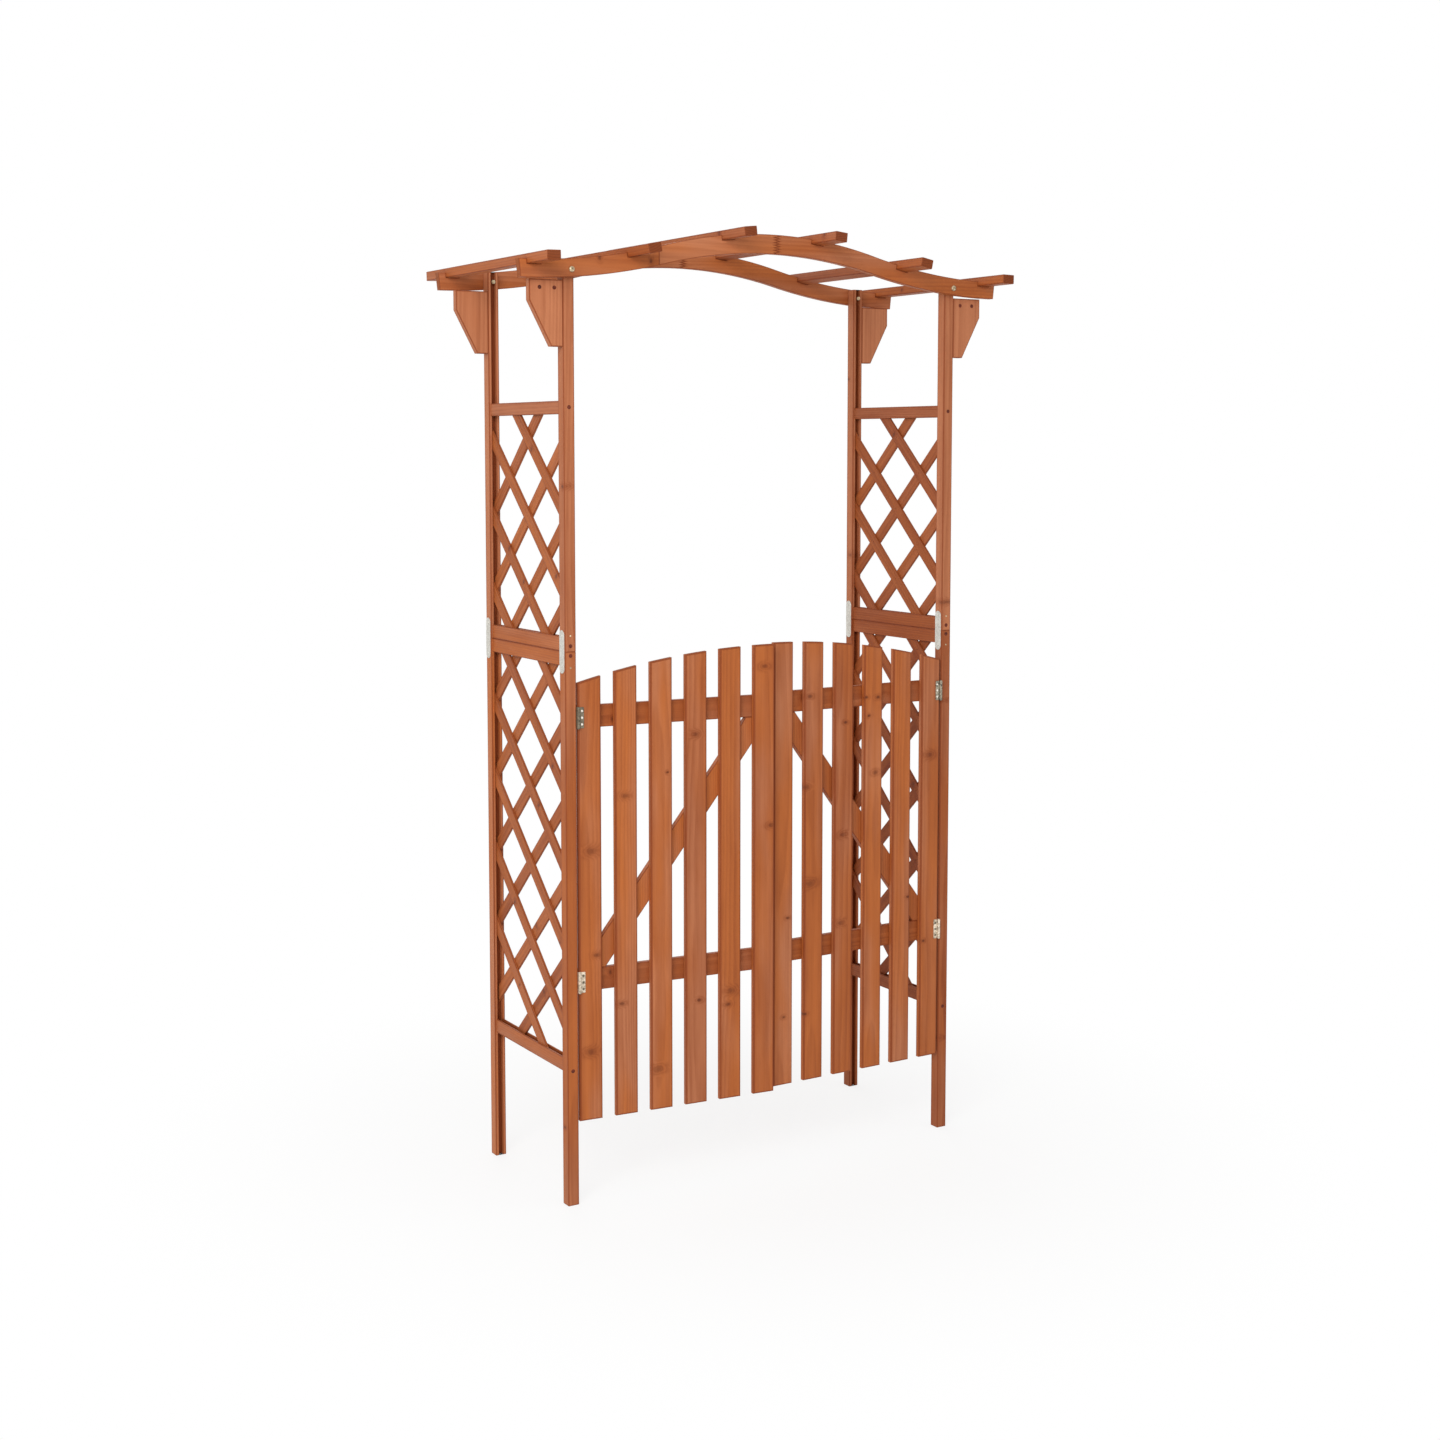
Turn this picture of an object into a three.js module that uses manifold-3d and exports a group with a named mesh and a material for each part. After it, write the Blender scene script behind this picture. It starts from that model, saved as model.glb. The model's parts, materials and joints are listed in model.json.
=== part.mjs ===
// A garden arch of stained softwood with a double gate between its front posts.
// Millimetres, +X to the right seen from the front, +Y to the back, +Z up.
// The origin is on the ground, under the middle of the arch.

import * as THREE from 'three';
import { mergeVertices } from 'three/addons/utils/BufferGeometryUtils.js';
import Module from 'manifold-3d';

const wasm = await Module();
wasm.setup();

// Four posts, each of a lower and an upper length, and the groove that holds the lattice.
const frameWidth = 990;
const frameDepth = 385;
const postSide = 25;
const postArris = 1.5;
const lowerPostLength = 1170;
const upperPostLength = 798;
const grooveWidth = 10;
const grooveDepth = 10;

// Side panels: rails between a front and a back post.
const railThickness = 17;
const railHeight = 30;
const topRailHeight = 27;
const railGrooveDepth = 8;
const bottomRailBottom = 283;
const topRailDrop = 284;

// Lattice of flat strips in two layers, fixed to each other where they cross.
const stripWidth = 28;
const stripThickness = 5;
const layerBite = 0.4;
const latticeStep = 178;
const latticeRise = 167;
const upperFirstCrossing = 79;
const lowerFirstCrossing = 53;
const latticeEndGap = 1;
const latticeShortestRun = 80;

// Curved beams, each of two halves, bent up over the middle and back to level at the end. Their
// ends are a little below the tops of the posts. The share tells where the bend turns.
const beamLength = 1200;
const beamCrownBand = 41;
const beamEndBand = 37;
const beamThickness = 16;
const beamRise = 77;
const beamEndDrop = 4;
const beamEndRake = 4;
const beamTurnShare = 0.44;

// Rafters let into the top edges of the beams, each square to the curve where it lies.
const rafterCount = 6;
const rafterLength = 600;
const rafterWidth = 30;
const rafterHeight = 20;
const rafterNotchDepth = 10;
const rafterEndMargin = 18;

// Shaped brackets on the outer sides of the posts, under the ends of the beams.
const bracketTopGap = 1;
const bracketHeight = 134;
const bracketWidth = 75;
const bracketToeWidth = 26;
const bracketEdgeHeight = 42;
const bracketThickness = 16;

// Steel plates across the joints of the posts.
const plateLength = 90;
const plateWidth = 20;
const plateThickness = 2;
const plateHoleRadius = 2.2;
const plateHoleEndMargin = 11;
const plateHoleSpacing = 20;

// Gate leaves: slats cut to one arch at the top, on two ledges with a brace between them. The
// arch ends below the joint of the posts, the upper ledge below the arch's lowest point.
const slatCount = 6;
const slatWidth = 50;
const slatThickness = 12;
const slatBottom = 178;
const gateCrownDrop = 4;
const gateRise = 61;
const gateSideGap = 5;
const gateMiddleGap = 14;
const ledgeHeight = 47;
const ledgeInset = 4;
const ledgeThickness = 14;
const upperLedgeDrop = 49;
const lowerLedgeLift = 321;
const braceSeat = 59;
const leftLeafAngle = 4.6;
const rightLeafAngle = 1.5;

// Butt hinges with the knuckle in front of the leaf.
const hingeHeight = 50;
const hingePlateReach = 18;
const hingePlateThickness = 1.2;
const knuckleRadius = 3.2;
const knuckleCount = 5;
const knuckleGap = 0.4;
const pinRadius = 1.4;
const pinHeadRadius = 2.3;
const pinHeadHeight = 1.2;
const hingeScrewCount = 3;
const hingeScrewSpacing = 16;
const hingeScrewReach = 11.5;
const hingeScrewRadius = 1.8;

// Clearances and cuts.
const seatGap = 0.3;
const cutOverrun = 5;

// Round stretches: straight steps in each.
const beamArcSteps = 14;
const slatArcSteps = 2;
const roundSteps = 16;
const holeSteps = 10;

const wood = new THREE.MeshStandardMaterial({ color: '#b96b43', roughness: 0.68, metalness: 0 });
const paleWood = new THREE.MeshStandardMaterial({ color: '#c27a50', roughness: 0.68, metalness: 0 });
const steel = new THREE.MeshStandardMaterial({ color: '#b4b6b2', roughness: 0.4, metalness: 0.9 });

const sides = [{ word: 'left', side: -1 }, { word: 'right', side: 1 }];
const rows = [{ word: 'front', row: -1 }, { word: 'back', row: 1 }];

// Places that several pieces share.
const postCentreX = frameWidth / 2 - postSide / 2;
const postCentreY = frameDepth / 2 - postSide / 2;
const postInnerX = frameWidth / 2 - postSide;
const postInnerY = frameDepth / 2 - postSide;
const jointHeight = lowerPostLength;
const postHeight = jointHeight + upperPostLength;
const topRailTop = postHeight - topRailDrop;
const beamEnd = postHeight - beamEndDrop;
const beamCrown = beamEnd + beamRise;
const bracketTop = beamEnd - beamEndBand - bracketTopGap;
const gateCrown = jointHeight - gateCrownDrop;
const gateShoulder = gateCrown - gateRise;
const upperLedgeTop = gateShoulder - upperLedgeDrop;
const lowerLedgeTop = slatBottom + lowerLedgeLift;

const arch = new THREE.Group();

function addPiece(parent, name, geometry, material) {
  const mesh = new THREE.Mesh(geometry, material);
  mesh.name = name;
  parent.add(mesh);
  return mesh;
}

function polygon(points) {
  return new THREE.Shape(points.map(([x, y]) => new THREE.Vector2(x, y)));
}

function extrude(shape, depth, curveSegments) {
  return new THREE.ExtrudeGeometry(shape, { depth, curveSegments, bevelEnabled: false });
}

// A board drawn in the X-Z plane, with its thickness from Y = 0 towards +Y.
function uprightBoard(shape, thickness, curveSegments) {
  const geometry = extrude(shape, thickness, curveSegments);
  geometry.rotateX(Math.PI / 2);
  geometry.translate(0, thickness, 0);
  return geometry;
}

function uprightCylinder(radius, height, steps) {
  const geometry = new THREE.CylinderGeometry(radius, radius, height, steps);
  geometry.rotateX(Math.PI / 2);
  return geometry;
}

function boxBetween(x0, x1, y0, y1, z0, z1) {
  const geometry = new THREE.BoxGeometry(Math.abs(x1 - x0), Math.abs(y1 - y0), Math.abs(z1 - z0));
  geometry.translate((x0 + x1) / 2, (y0 + y1) / 2, (z0 + z1) / 2);
  return geometry;
}

function solidFrom(geometry) {
  const bare = geometry.clone();
  bare.deleteAttribute('normal');
  bare.deleteAttribute('uv');
  const welded = mergeVertices(bare);
  return new wasm.Manifold(new wasm.Mesh({
    numProp: 3,
    vertProperties: new Float32Array(welded.attributes.position.array),
    triVerts: new Uint32Array(welded.index.array),
  }));
}

function geometryFrom(solid) {
  const mesh = solid.getMesh();
  const geometry = new THREE.BufferGeometry();
  geometry.setAttribute('position', new THREE.BufferAttribute(mesh.vertProperties, 3));
  geometry.setIndex(new THREE.BufferAttribute(mesh.triVerts, 1));
  geometry.computeVertexNormals();
  return geometry;
}

function joined(geometries) {
  return geometries.map(solidFrom).reduce((all, next) => all.add(next));
}

// Posts: a square section with eased corners and a groove in the face towards the panel.
function postSection(row) {
  const half = postSide / 2;
  const outline = [
    [-half + postArris, -half], [half - postArris, -half],
    [half, -half + postArris], [half, half - postArris],
    [half - postArris, half],
    [grooveWidth / 2, half], [grooveWidth / 2, half - grooveDepth],
    [-grooveWidth / 2, half - grooveDepth], [-grooveWidth / 2, half],
    [-half + postArris, half],
    [-half, half - postArris], [-half, -half + postArris],
  ];
  return polygon(outline.map(([x, y]) => [x, -row * y]));
}

const postLengths = [
  { word: 'lower', from: 0, to: jointHeight },
  { word: 'upper', from: jointHeight, to: postHeight },
];

function addPosts() {
  for (const { word, row } of rows) {
    for (const { word: sideWord, side } of sides) {
      for (const { word: lengthWord, from, to } of postLengths) {
        const geometry = extrude(postSection(row), to - from);
        const post = addPiece(arch, `post_${word}_${sideWord}_${lengthWord}`, geometry, wood);
        post.position.set(side * postCentreX, row * postCentreY, from);
      }
    }
  }
}

// Rails: a flat section along Y, grooved on the edge that the lattice enters.
function railSection(height, grooveOnTop) {
  const half = railThickness / 2;
  const outline = [
    [-half, 0], [half, 0], [half, height],
    [grooveWidth / 2, height], [grooveWidth / 2, height - railGrooveDepth],
    [-grooveWidth / 2, height - railGrooveDepth], [-grooveWidth / 2, height],
    [-half, height],
  ];
  return polygon(outline.map(([x, z]) => [x, grooveOnTop ? z : height - z]));
}

const rails = [
  { word: 'bottom', from: bottomRailBottom, height: railHeight, grooveOnTop: true },
  { word: 'lower_mid', from: jointHeight - railHeight, height: railHeight, grooveOnTop: false },
  { word: 'upper_mid', from: jointHeight, height: railHeight, grooveOnTop: true },
  { word: 'top', from: topRailTop - topRailHeight, height: topRailHeight, grooveOnTop: false },
];

function addRails() {
  for (const { word: sideWord, side } of sides) {
    for (const { word, from, height, grooveOnTop } of rails) {
      const geometry = uprightBoard(railSection(height, grooveOnTop), 2 * postInnerY);
      const rail = addPiece(arch, `rail_${sideWord}_${word}`, geometry, wood);
      rail.position.set(side * postCentreX, -postInnerY, from);
    }
  }
}

// Lattice: strips through the crossings in both slants, cut to the panel with its grooves.
const latticeSlant = Math.atan2(latticeRise, latticeStep);
const latticeHalfDepth = postInnerY + grooveDepth - latticeEndGap;
const layerOffset = (stripThickness - layerBite) / 2;

// The heights at which the strips of one slant pass the middle of a panel. A corner that
// would take only a short offcut stays open.
function stripHeights(bottom, top, firstCrossing) {
  const reach = postInnerY * Math.tan(latticeSlant);
  const crossing = bottom + firstCrossing;
  const first = Math.ceil((bottom - reach - crossing) / latticeRise);
  const last = Math.floor((top + reach - crossing) / latticeRise);
  const all = Array.from({ length: last - first + 1 }, (_, i) => crossing + (first + i) * latticeRise);
  return all.filter((middle) => {
    const low = Math.max(bottom, middle - reach);
    const high = Math.min(top, middle + reach);
    return (high - low) / Math.sin(latticeSlant) >= latticeShortestRun;
  });
}

function latticeSolid(bottom, top, firstCrossing) {
  const low = bottom - railGrooveDepth + latticeEndGap;
  const high = top + railGrooveDepth - latticeEndGap;
  const stripLength = Math.hypot(2 * latticeHalfDepth + stripWidth, high - low + stripWidth);
  const strips = [];
  for (const slant of [-1, 1]) {
    for (const middle of stripHeights(bottom, top, firstCrossing)) {
      const strip = new THREE.BoxGeometry(stripThickness, stripLength, stripWidth);
      strip.rotateX(slant * latticeSlant);
      strip.translate(-slant * layerOffset, 0, middle);
      strips.push(strip);
    }
  }
  const panel = boxBetween(
    -stripThickness, stripThickness, -latticeHalfDepth, latticeHalfDepth, low, high,
  );
  return joined(strips).intersect(solidFrom(panel));
}

const sections = [
  {
    word: 'lower',
    bottom: bottomRailBottom + railHeight,
    top: jointHeight - railHeight,
    firstCrossing: lowerFirstCrossing,
  },
  {
    word: 'upper',
    bottom: jointHeight + railHeight,
    top: topRailTop - topRailHeight,
    firstCrossing: upperFirstCrossing,
  },
];

function addLattices() {
  for (const { word, bottom, top, firstCrossing } of sections) {
    const geometry = geometryFrom(latticeSolid(bottom, top, firstCrossing));
    for (const { word: sideWord, side } of sides) {
      const lattice = addPiece(arch, `lattice_${sideWord}_${word}`, geometry, paleWood);
      lattice.position.set(side * postCentreX, 0, 0);
    }
  }
}

// Beams: each edge is an arc about a centre below the crown, which runs on without a kink in
// an arc about a centre above the end.
const beamTurnX = beamTurnShare * beamLength / 2;

function doubleArc(crown, end) {
  const turnAngle = 2 * Math.atan2(crown - end, beamLength / 2);
  return {
    crown,
    end,
    crownRadius: beamTurnX / Math.sin(turnAngle),
    endRadius: (beamLength / 2 - beamTurnX) / Math.sin(turnAngle),
  };
}

const topArc = doubleArc(beamCrown, beamEnd);
const bottomArc = doubleArc(beamCrown - beamCrownBand, beamEnd - beamEndBand);

// The height and slope of an edge at a distance from the middle.
function edgeAt(arc, x) {
  const out = Math.abs(x);
  const onCrown = out < beamTurnX;
  const slope = Math.asin(onCrown ? out / arc.crownRadius : (beamLength / 2 - out) / arc.endRadius);
  const drop = 1 - Math.cos(slope);
  return {
    z: onCrown ? arc.crown - arc.crownRadius * drop : arc.end + arc.endRadius * drop,
    tilt: Math.sign(x) * slope,
  };
}

function beamHalfShape(side) {
  const steps = Array.from({ length: beamArcSteps + 1 }, (_, i) => i / beamArcSteps);
  const edge = (arc, length) => {
    const places = [
      ...steps.map((share) => share * beamTurnX),
      ...steps.slice(1).map((share) => beamTurnX + share * (length - beamTurnX)),
    ];
    return places.map((x) => [x, edgeAt(arc, x).z]);
  };
  const topEdge = edge(topArc, beamLength / 2);
  const bottomEdge = edge(bottomArc, beamLength / 2 - beamEndRake);
  return polygon([...topEdge, ...bottomEdge.reverse()].map(([x, z]) => [side * x, z]));
}

const outerRafterX = beamLength / 2 - rafterEndMargin - rafterWidth / 2;
const rafterPitch = 2 * outerRafterX / (rafterCount - 1);
const rafterLift = rafterHeight / 2 - rafterNotchDepth;
const rafterPlaces = Array.from({ length: rafterCount }, (_, i) => {
  const x = -outerRafterX + i * rafterPitch;
  const { z, tilt } = edgeAt(topArc, x);
  return { x: x + rafterLift * Math.sin(tilt), z: z + rafterLift * Math.cos(tilt), tilt };
});

function notchFor({ x, z, tilt }) {
  const height = rafterHeight + cutOverrun;
  const notch = new THREE.BoxGeometry(
    rafterWidth + 2 * seatGap, beamThickness + 2 * cutOverrun, height + seatGap,
  );
  notch.translate(0, beamThickness / 2, (cutOverrun - seatGap) / 2);
  notch.rotateY(tilt);
  notch.translate(x, 0, z);
  return notch;
}

function addBeams() {
  for (const { word: sideWord, side } of sides) {
    const board = solidFrom(uprightBoard(beamHalfShape(side), beamThickness));
    const notches = rafterPlaces.filter(({ x }) => x * side > 0).map(notchFor);
    const geometry = geometryFrom(board.subtract(joined(notches)));
    for (const { word, row } of rows) {
      const beam = addPiece(arch, `beam_${word}_${sideWord}`, geometry, wood);
      beam.position.y = row * (frameDepth + beamThickness) / 2 - beamThickness / 2;
    }
  }
}

function addRafters() {
  rafterPlaces.forEach(({ x, z, tilt }, i) => {
    const geometry = new THREE.BoxGeometry(rafterWidth, rafterLength, rafterHeight);
    const rafter = addPiece(arch, `rafter_${i + 1}`, geometry, wood);
    rafter.position.set(x, 0, z);
    rafter.rotation.y = tilt;
  });
}

// Brackets: square at the top, with a sloping cut down to a narrow toe against the post.
function bracketShape(side) {
  const outline = [
    [0, 0], [bracketToeWidth, 0], [bracketWidth, bracketHeight - bracketEdgeHeight],
    [bracketWidth, bracketHeight], [0, bracketHeight],
  ];
  return polygon(outline.map(([x, z]) => [side * x, z]));
}

function addBrackets() {
  for (const { word, row } of rows) {
    for (const { word: sideWord, side } of sides) {
      const geometry = uprightBoard(bracketShape(side), bracketThickness);
      const bracket = addPiece(arch, `bracket_${word}_${sideWord}`, geometry, wood);
      const y = row * postCentreY - postSide / 2;
      bracket.position.set(side * frameWidth / 2, y, bracketTop - bracketHeight);
    }
  }
}

// Joint plates: flat bars with round ends and four screw holes, on the left face of each post.
function plateShape() {
  const straight = plateLength / 2 - plateWidth / 2;
  const shape = new THREE.Shape();
  shape.absarc(0, straight, plateWidth / 2, 0, Math.PI, false);
  shape.absarc(0, -straight, plateWidth / 2, Math.PI, 2 * Math.PI, false);
  const outerHole = plateLength / 2 - plateHoleEndMargin;
  for (const height of [outerHole, outerHole - plateHoleSpacing]) {
    for (const end of [-1, 1]) {
      const hole = new THREE.Path();
      hole.absarc(0, end * height, plateHoleRadius, 0, 2 * Math.PI, true);
      shape.holes.push(hole);
    }
  }
  return shape;
}

function addPlates() {
  for (const { word, row } of rows) {
    for (const { word: sideWord, side } of sides) {
      const geometry = extrude(plateShape(), plateThickness, holeSteps / 2);
      geometry.rotateX(Math.PI / 2);
      geometry.rotateZ(-Math.PI / 2);
      const plate = addPiece(arch, `joint_plate_${word}_${sideWord}`, geometry, steel);
      plate.position.set(side * postCentreX - postSide / 2, row * postCentreY, jointHeight);
    }
  }
}

// Hinges: odd knuckles belong to the fixed plate with the pin, even ones to the moving plate.
// Both are built about the pin, with the leaf towards +X times its direction.
const knuckleLength = (hingeHeight - (knuckleCount - 1) * knuckleGap) / knuckleCount;
const knuckles = Array.from({ length: knuckleCount }, (_, i) => ({
  fixed: i % 2 === 0,
  from: -hingeHeight / 2 + i * (knuckleLength + knuckleGap),
}));

function knuckleAt(from) {
  const geometry = uprightCylinder(knuckleRadius, knuckleLength, roundSteps);
  geometry.translate(0, 0, from + knuckleLength / 2);
  return geometry;
}

// The holes of one plate, along the given direction of its reach.
function screwHoles(turn, x, y) {
  return Array.from({ length: hingeScrewCount }, (_, i) => {
    const hole = new THREE.CylinderGeometry(
      hingeScrewRadius, hingeScrewRadius, 2 * cutOverrun, holeSteps,
    );
    hole.rotateZ(turn);
    hole.translate(x, y, (i - (hingeScrewCount - 1) / 2) * hingeScrewSpacing);
    return hole;
  });
}

function fixedHinge(direction) {
  const outer = -direction * knuckleRadius;
  const inner = outer + direction * hingePlateThickness;
  const half = hingeHeight / 2;
  const plate = boxBetween(outer, inner, knuckleRadius + seatGap, hingePlateReach, -half, half);
  const own = knuckles.filter(({ fixed }) => fixed);
  const tabs = own.map(({ from }) => boxBetween(
    outer, inner, 0, knuckleRadius + 2 * seatGap, from, from + knuckleLength,
  ));
  const pin = uprightCylinder(pinRadius, hingeHeight, roundSteps);
  const heads = [-1, 1].map((end) => {
    const head = uprightCylinder(pinHeadRadius, 2 * pinHeadHeight, roundSteps);
    head.translate(0, 0, end * half);
    return head;
  });
  const holes = screwHoles(Math.PI / 2, outer, hingeScrewReach);
  return joined([plate, ...tabs, ...own.map(({ from }) => knuckleAt(from)), pin, ...heads])
    .subtract(joined(holes));
}

function movingHinge(direction) {
  const front = knuckleRadius - hingePlateThickness;
  const half = hingeHeight / 2;
  const near = direction * (knuckleRadius + seatGap);
  const plate = boxBetween(
    near, direction * hingePlateReach, front, knuckleRadius, -half, half,
  );
  const own = knuckles.filter(({ fixed }) => !fixed);
  const tabs = own.map(({ from }) => boxBetween(
    0, near + direction * seatGap, front, knuckleRadius, from, from + knuckleLength,
  ));
  const bore = uprightCylinder(pinRadius + seatGap, hingeHeight, roundSteps);
  const holes = screwHoles(0, direction * hingeScrewReach, knuckleRadius);
  return joined([plate, ...tabs, ...own.map(({ from }) => knuckleAt(from))])
    .subtract(joined([bore, ...holes]));
}

const hinges = [
  { word: 'upper', height: upperLedgeTop - ledgeHeight / 2 },
  { word: 'lower', height: lowerLedgeTop - ledgeHeight / 2 },
];

// Gate leaves, each in a group at its hinge line, built as it hangs when shut.
const hingeLineX = postInnerX - knuckleRadius;
const hingeLineY = -frameDepth / 2 - knuckleRadius - seatGap;
const leafFront = knuckleRadius + seatGap;
const leafStart = gateSideGap - knuckleRadius;
const leafWidth = postInnerX - gateSideGap - gateMiddleGap / 2;
const slatPitch = (leafWidth - slatWidth) / (slatCount - 1);
const archHalfWidth = postInnerX - gateSideGap;
const archRadius = (archHalfWidth ** 2 + gateRise ** 2) / (2 * gateRise);

function slatShape(start, direction) {
  const ends = [direction * start, direction * (start + slatWidth)].sort((a, b) => a - b);
  const centreX = direction * hingeLineX;
  const centreZ = gateCrown - archRadius;
  const angleAt = (x) => Math.acos((x - centreX) / archRadius);
  const shape = new THREE.Shape();
  shape.moveTo(ends[0], slatBottom);
  shape.lineTo(ends[1], slatBottom);
  shape.absarc(centreX, centreZ, archRadius, angleAt(ends[1]), angleAt(ends[0]), false);
  return shape;
}

// Two ledges and the brace, which stands on the lower one at the hinge side and meets the
// upper one at the free side.
function leafFrameShape(direction) {
  const near = leafStart + ledgeInset;
  const far = leafStart + leafWidth - ledgeInset;
  const upperLedgeBottom = upperLedgeTop - ledgeHeight;
  const outline = [
    [near, lowerLedgeTop - ledgeHeight], [far, lowerLedgeTop - ledgeHeight],
    [far, lowerLedgeTop], [near + braceSeat, lowerLedgeTop],
    [far, upperLedgeBottom], [far, upperLedgeTop],
    [near, upperLedgeTop], [near, upperLedgeBottom],
    [far - braceSeat, upperLedgeBottom], [near, lowerLedgeTop],
  ];
  return polygon(outline.map(([x, z]) => [direction * x, z]));
}

function addLeaf(word, side, angle) {
  const direction = -side;
  const leaf = new THREE.Group();
  leaf.position.set(side * hingeLineX, hingeLineY, 0);
  leaf.rotation.z = -direction * THREE.MathUtils.degToRad(angle);
  for (let i = 0; i < slatCount; i += 1) {
    const shape = slatShape(leafStart + i * slatPitch, direction);
    const geometry = uprightBoard(shape, slatThickness, slatArcSteps);
    const slat = addPiece(leaf, `slat_${word}_${i + 1}`, geometry, wood);
    slat.position.y = leafFront;
  }
  const frameGeometry = uprightBoard(leafFrameShape(direction), ledgeThickness);
  const leafFrame = addPiece(leaf, `gate_frame_${word}`, frameGeometry, wood);
  leafFrame.position.y = leafFront + slatThickness + seatGap;
  const moving = geometryFrom(movingHinge(direction));
  const fixed = geometryFrom(fixedHinge(direction));
  for (const { word: hingeWord, height } of hinges) {
    addPiece(leaf, `hinge_leaf_${word}_${hingeWord}`, moving, steel).position.z = height;
    const onPost = addPiece(arch, `hinge_post_${word}_${hingeWord}`, fixed, steel);
    onPost.position.set(side * hingeLineX, hingeLineY, height);
  }
  arch.add(leaf);
}

addPosts();
addRails();
addLattices();
addBeams();
addRafters();
addBrackets();
addPlates();
addLeaf('left', -1, leftLeafAngle);
addLeaf('right', 1, rightLeafAngle);

export default arch;
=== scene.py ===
# %% [markdown]
# # A garden arch with a double gate
# The arch is 1.2 m wide, 0.6 m deep and 2.05 m high, made of planed softwood with an orange-brown
# stain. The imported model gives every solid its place. This scene dresses it: each board is made
# again with eased edges, its own grain and its own knots, and the small fasteners are added.

# %% Load the frame
import json
import math

import bpy
import numpy as np
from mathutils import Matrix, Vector

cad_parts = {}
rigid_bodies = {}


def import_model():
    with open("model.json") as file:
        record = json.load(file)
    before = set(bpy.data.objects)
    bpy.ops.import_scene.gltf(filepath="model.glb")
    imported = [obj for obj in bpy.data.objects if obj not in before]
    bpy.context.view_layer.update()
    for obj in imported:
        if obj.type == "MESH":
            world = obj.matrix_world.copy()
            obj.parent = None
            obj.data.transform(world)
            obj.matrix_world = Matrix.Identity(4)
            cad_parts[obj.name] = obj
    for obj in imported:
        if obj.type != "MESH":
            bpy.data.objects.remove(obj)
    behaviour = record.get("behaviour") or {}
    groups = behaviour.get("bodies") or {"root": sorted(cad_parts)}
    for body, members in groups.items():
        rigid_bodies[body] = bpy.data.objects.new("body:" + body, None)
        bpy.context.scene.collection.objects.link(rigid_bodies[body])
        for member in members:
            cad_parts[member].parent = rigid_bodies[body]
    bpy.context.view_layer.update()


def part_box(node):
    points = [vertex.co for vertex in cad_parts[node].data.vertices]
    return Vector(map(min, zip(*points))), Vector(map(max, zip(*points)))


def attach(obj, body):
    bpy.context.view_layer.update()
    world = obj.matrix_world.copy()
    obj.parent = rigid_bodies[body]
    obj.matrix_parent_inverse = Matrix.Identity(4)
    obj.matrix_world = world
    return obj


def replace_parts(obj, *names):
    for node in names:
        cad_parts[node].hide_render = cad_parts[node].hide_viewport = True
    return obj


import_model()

scene = bpy.context.scene
X, Y, Z = np.eye(3)

# %% [markdown]
# ## The camera
# The picture is taken from the left front, about four and a half metres away, at the height of a
# standing person's eyes. The place and the lens come from a fit over the corners of the posts,
# beams and rafters. The camera looks slightly down, and a small shift does the rest of the framing.

# %% Place the camera
SENSOR, PIXELS, FOCAL_PIXELS = 36, 1440, 2037.98
DEGREES_DOWN, DEGREES_RIGHT = 4.907, 31.090
camera_data = bpy.data.cameras.new("camera")
camera_data.sensor_width = SENSOR
camera_data.lens = SENSOR * FOCAL_PIXELS / PIXELS
camera_data.shift_y = -0.068
camera_data.clip_end = 100
camera = bpy.data.objects.new("camera", camera_data)
camera.location = (-2.3710, -3.9190, 1.5895)
camera.rotation_euler = (math.radians(90 - DEGREES_DOWN), 0, -math.radians(DEGREES_RIGHT))
scene.collection.objects.link(camera)
scene.camera = camera
scene.view_settings.view_transform = "Standard"
print("lens:", round(camera_data.lens, 1), "mm")

# %% [markdown]
# ## Shader maths in plain expressions
# A material is a network of nodes. Writing it as formulas is easier to read, so one small class
# wraps a socket: an expression such as `1 - mask * 0.5` adds the Math nodes by itself. Every other
# node comes from one method, `node`, which takes its type, its settings and its sockets.

# %% A socket that can be calculated with
def operator(operation, reflected=False):
    """A method that adds a Math node. In a reflected one the other value comes first."""
    def apply(value, other):
        order = (other, value) if reflected else (value, other)
        return value.shader.maths(operation, *order)
    return apply


class Value:
    def __init__(self, shader, socket):
        self.shader = shader
        self.socket = socket

    def maths(self, operation, *others):
        return self.shader.maths(operation, self, *others)

    __add__ = __radd__ = operator("ADD")
    __sub__, __rsub__ = operator("SUBTRACT"), operator("SUBTRACT", reflected=True)
    __mul__ = __rmul__ = operator("MULTIPLY")
    __truediv__, __pow__ = operator("DIVIDE"), operator("POWER")


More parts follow.
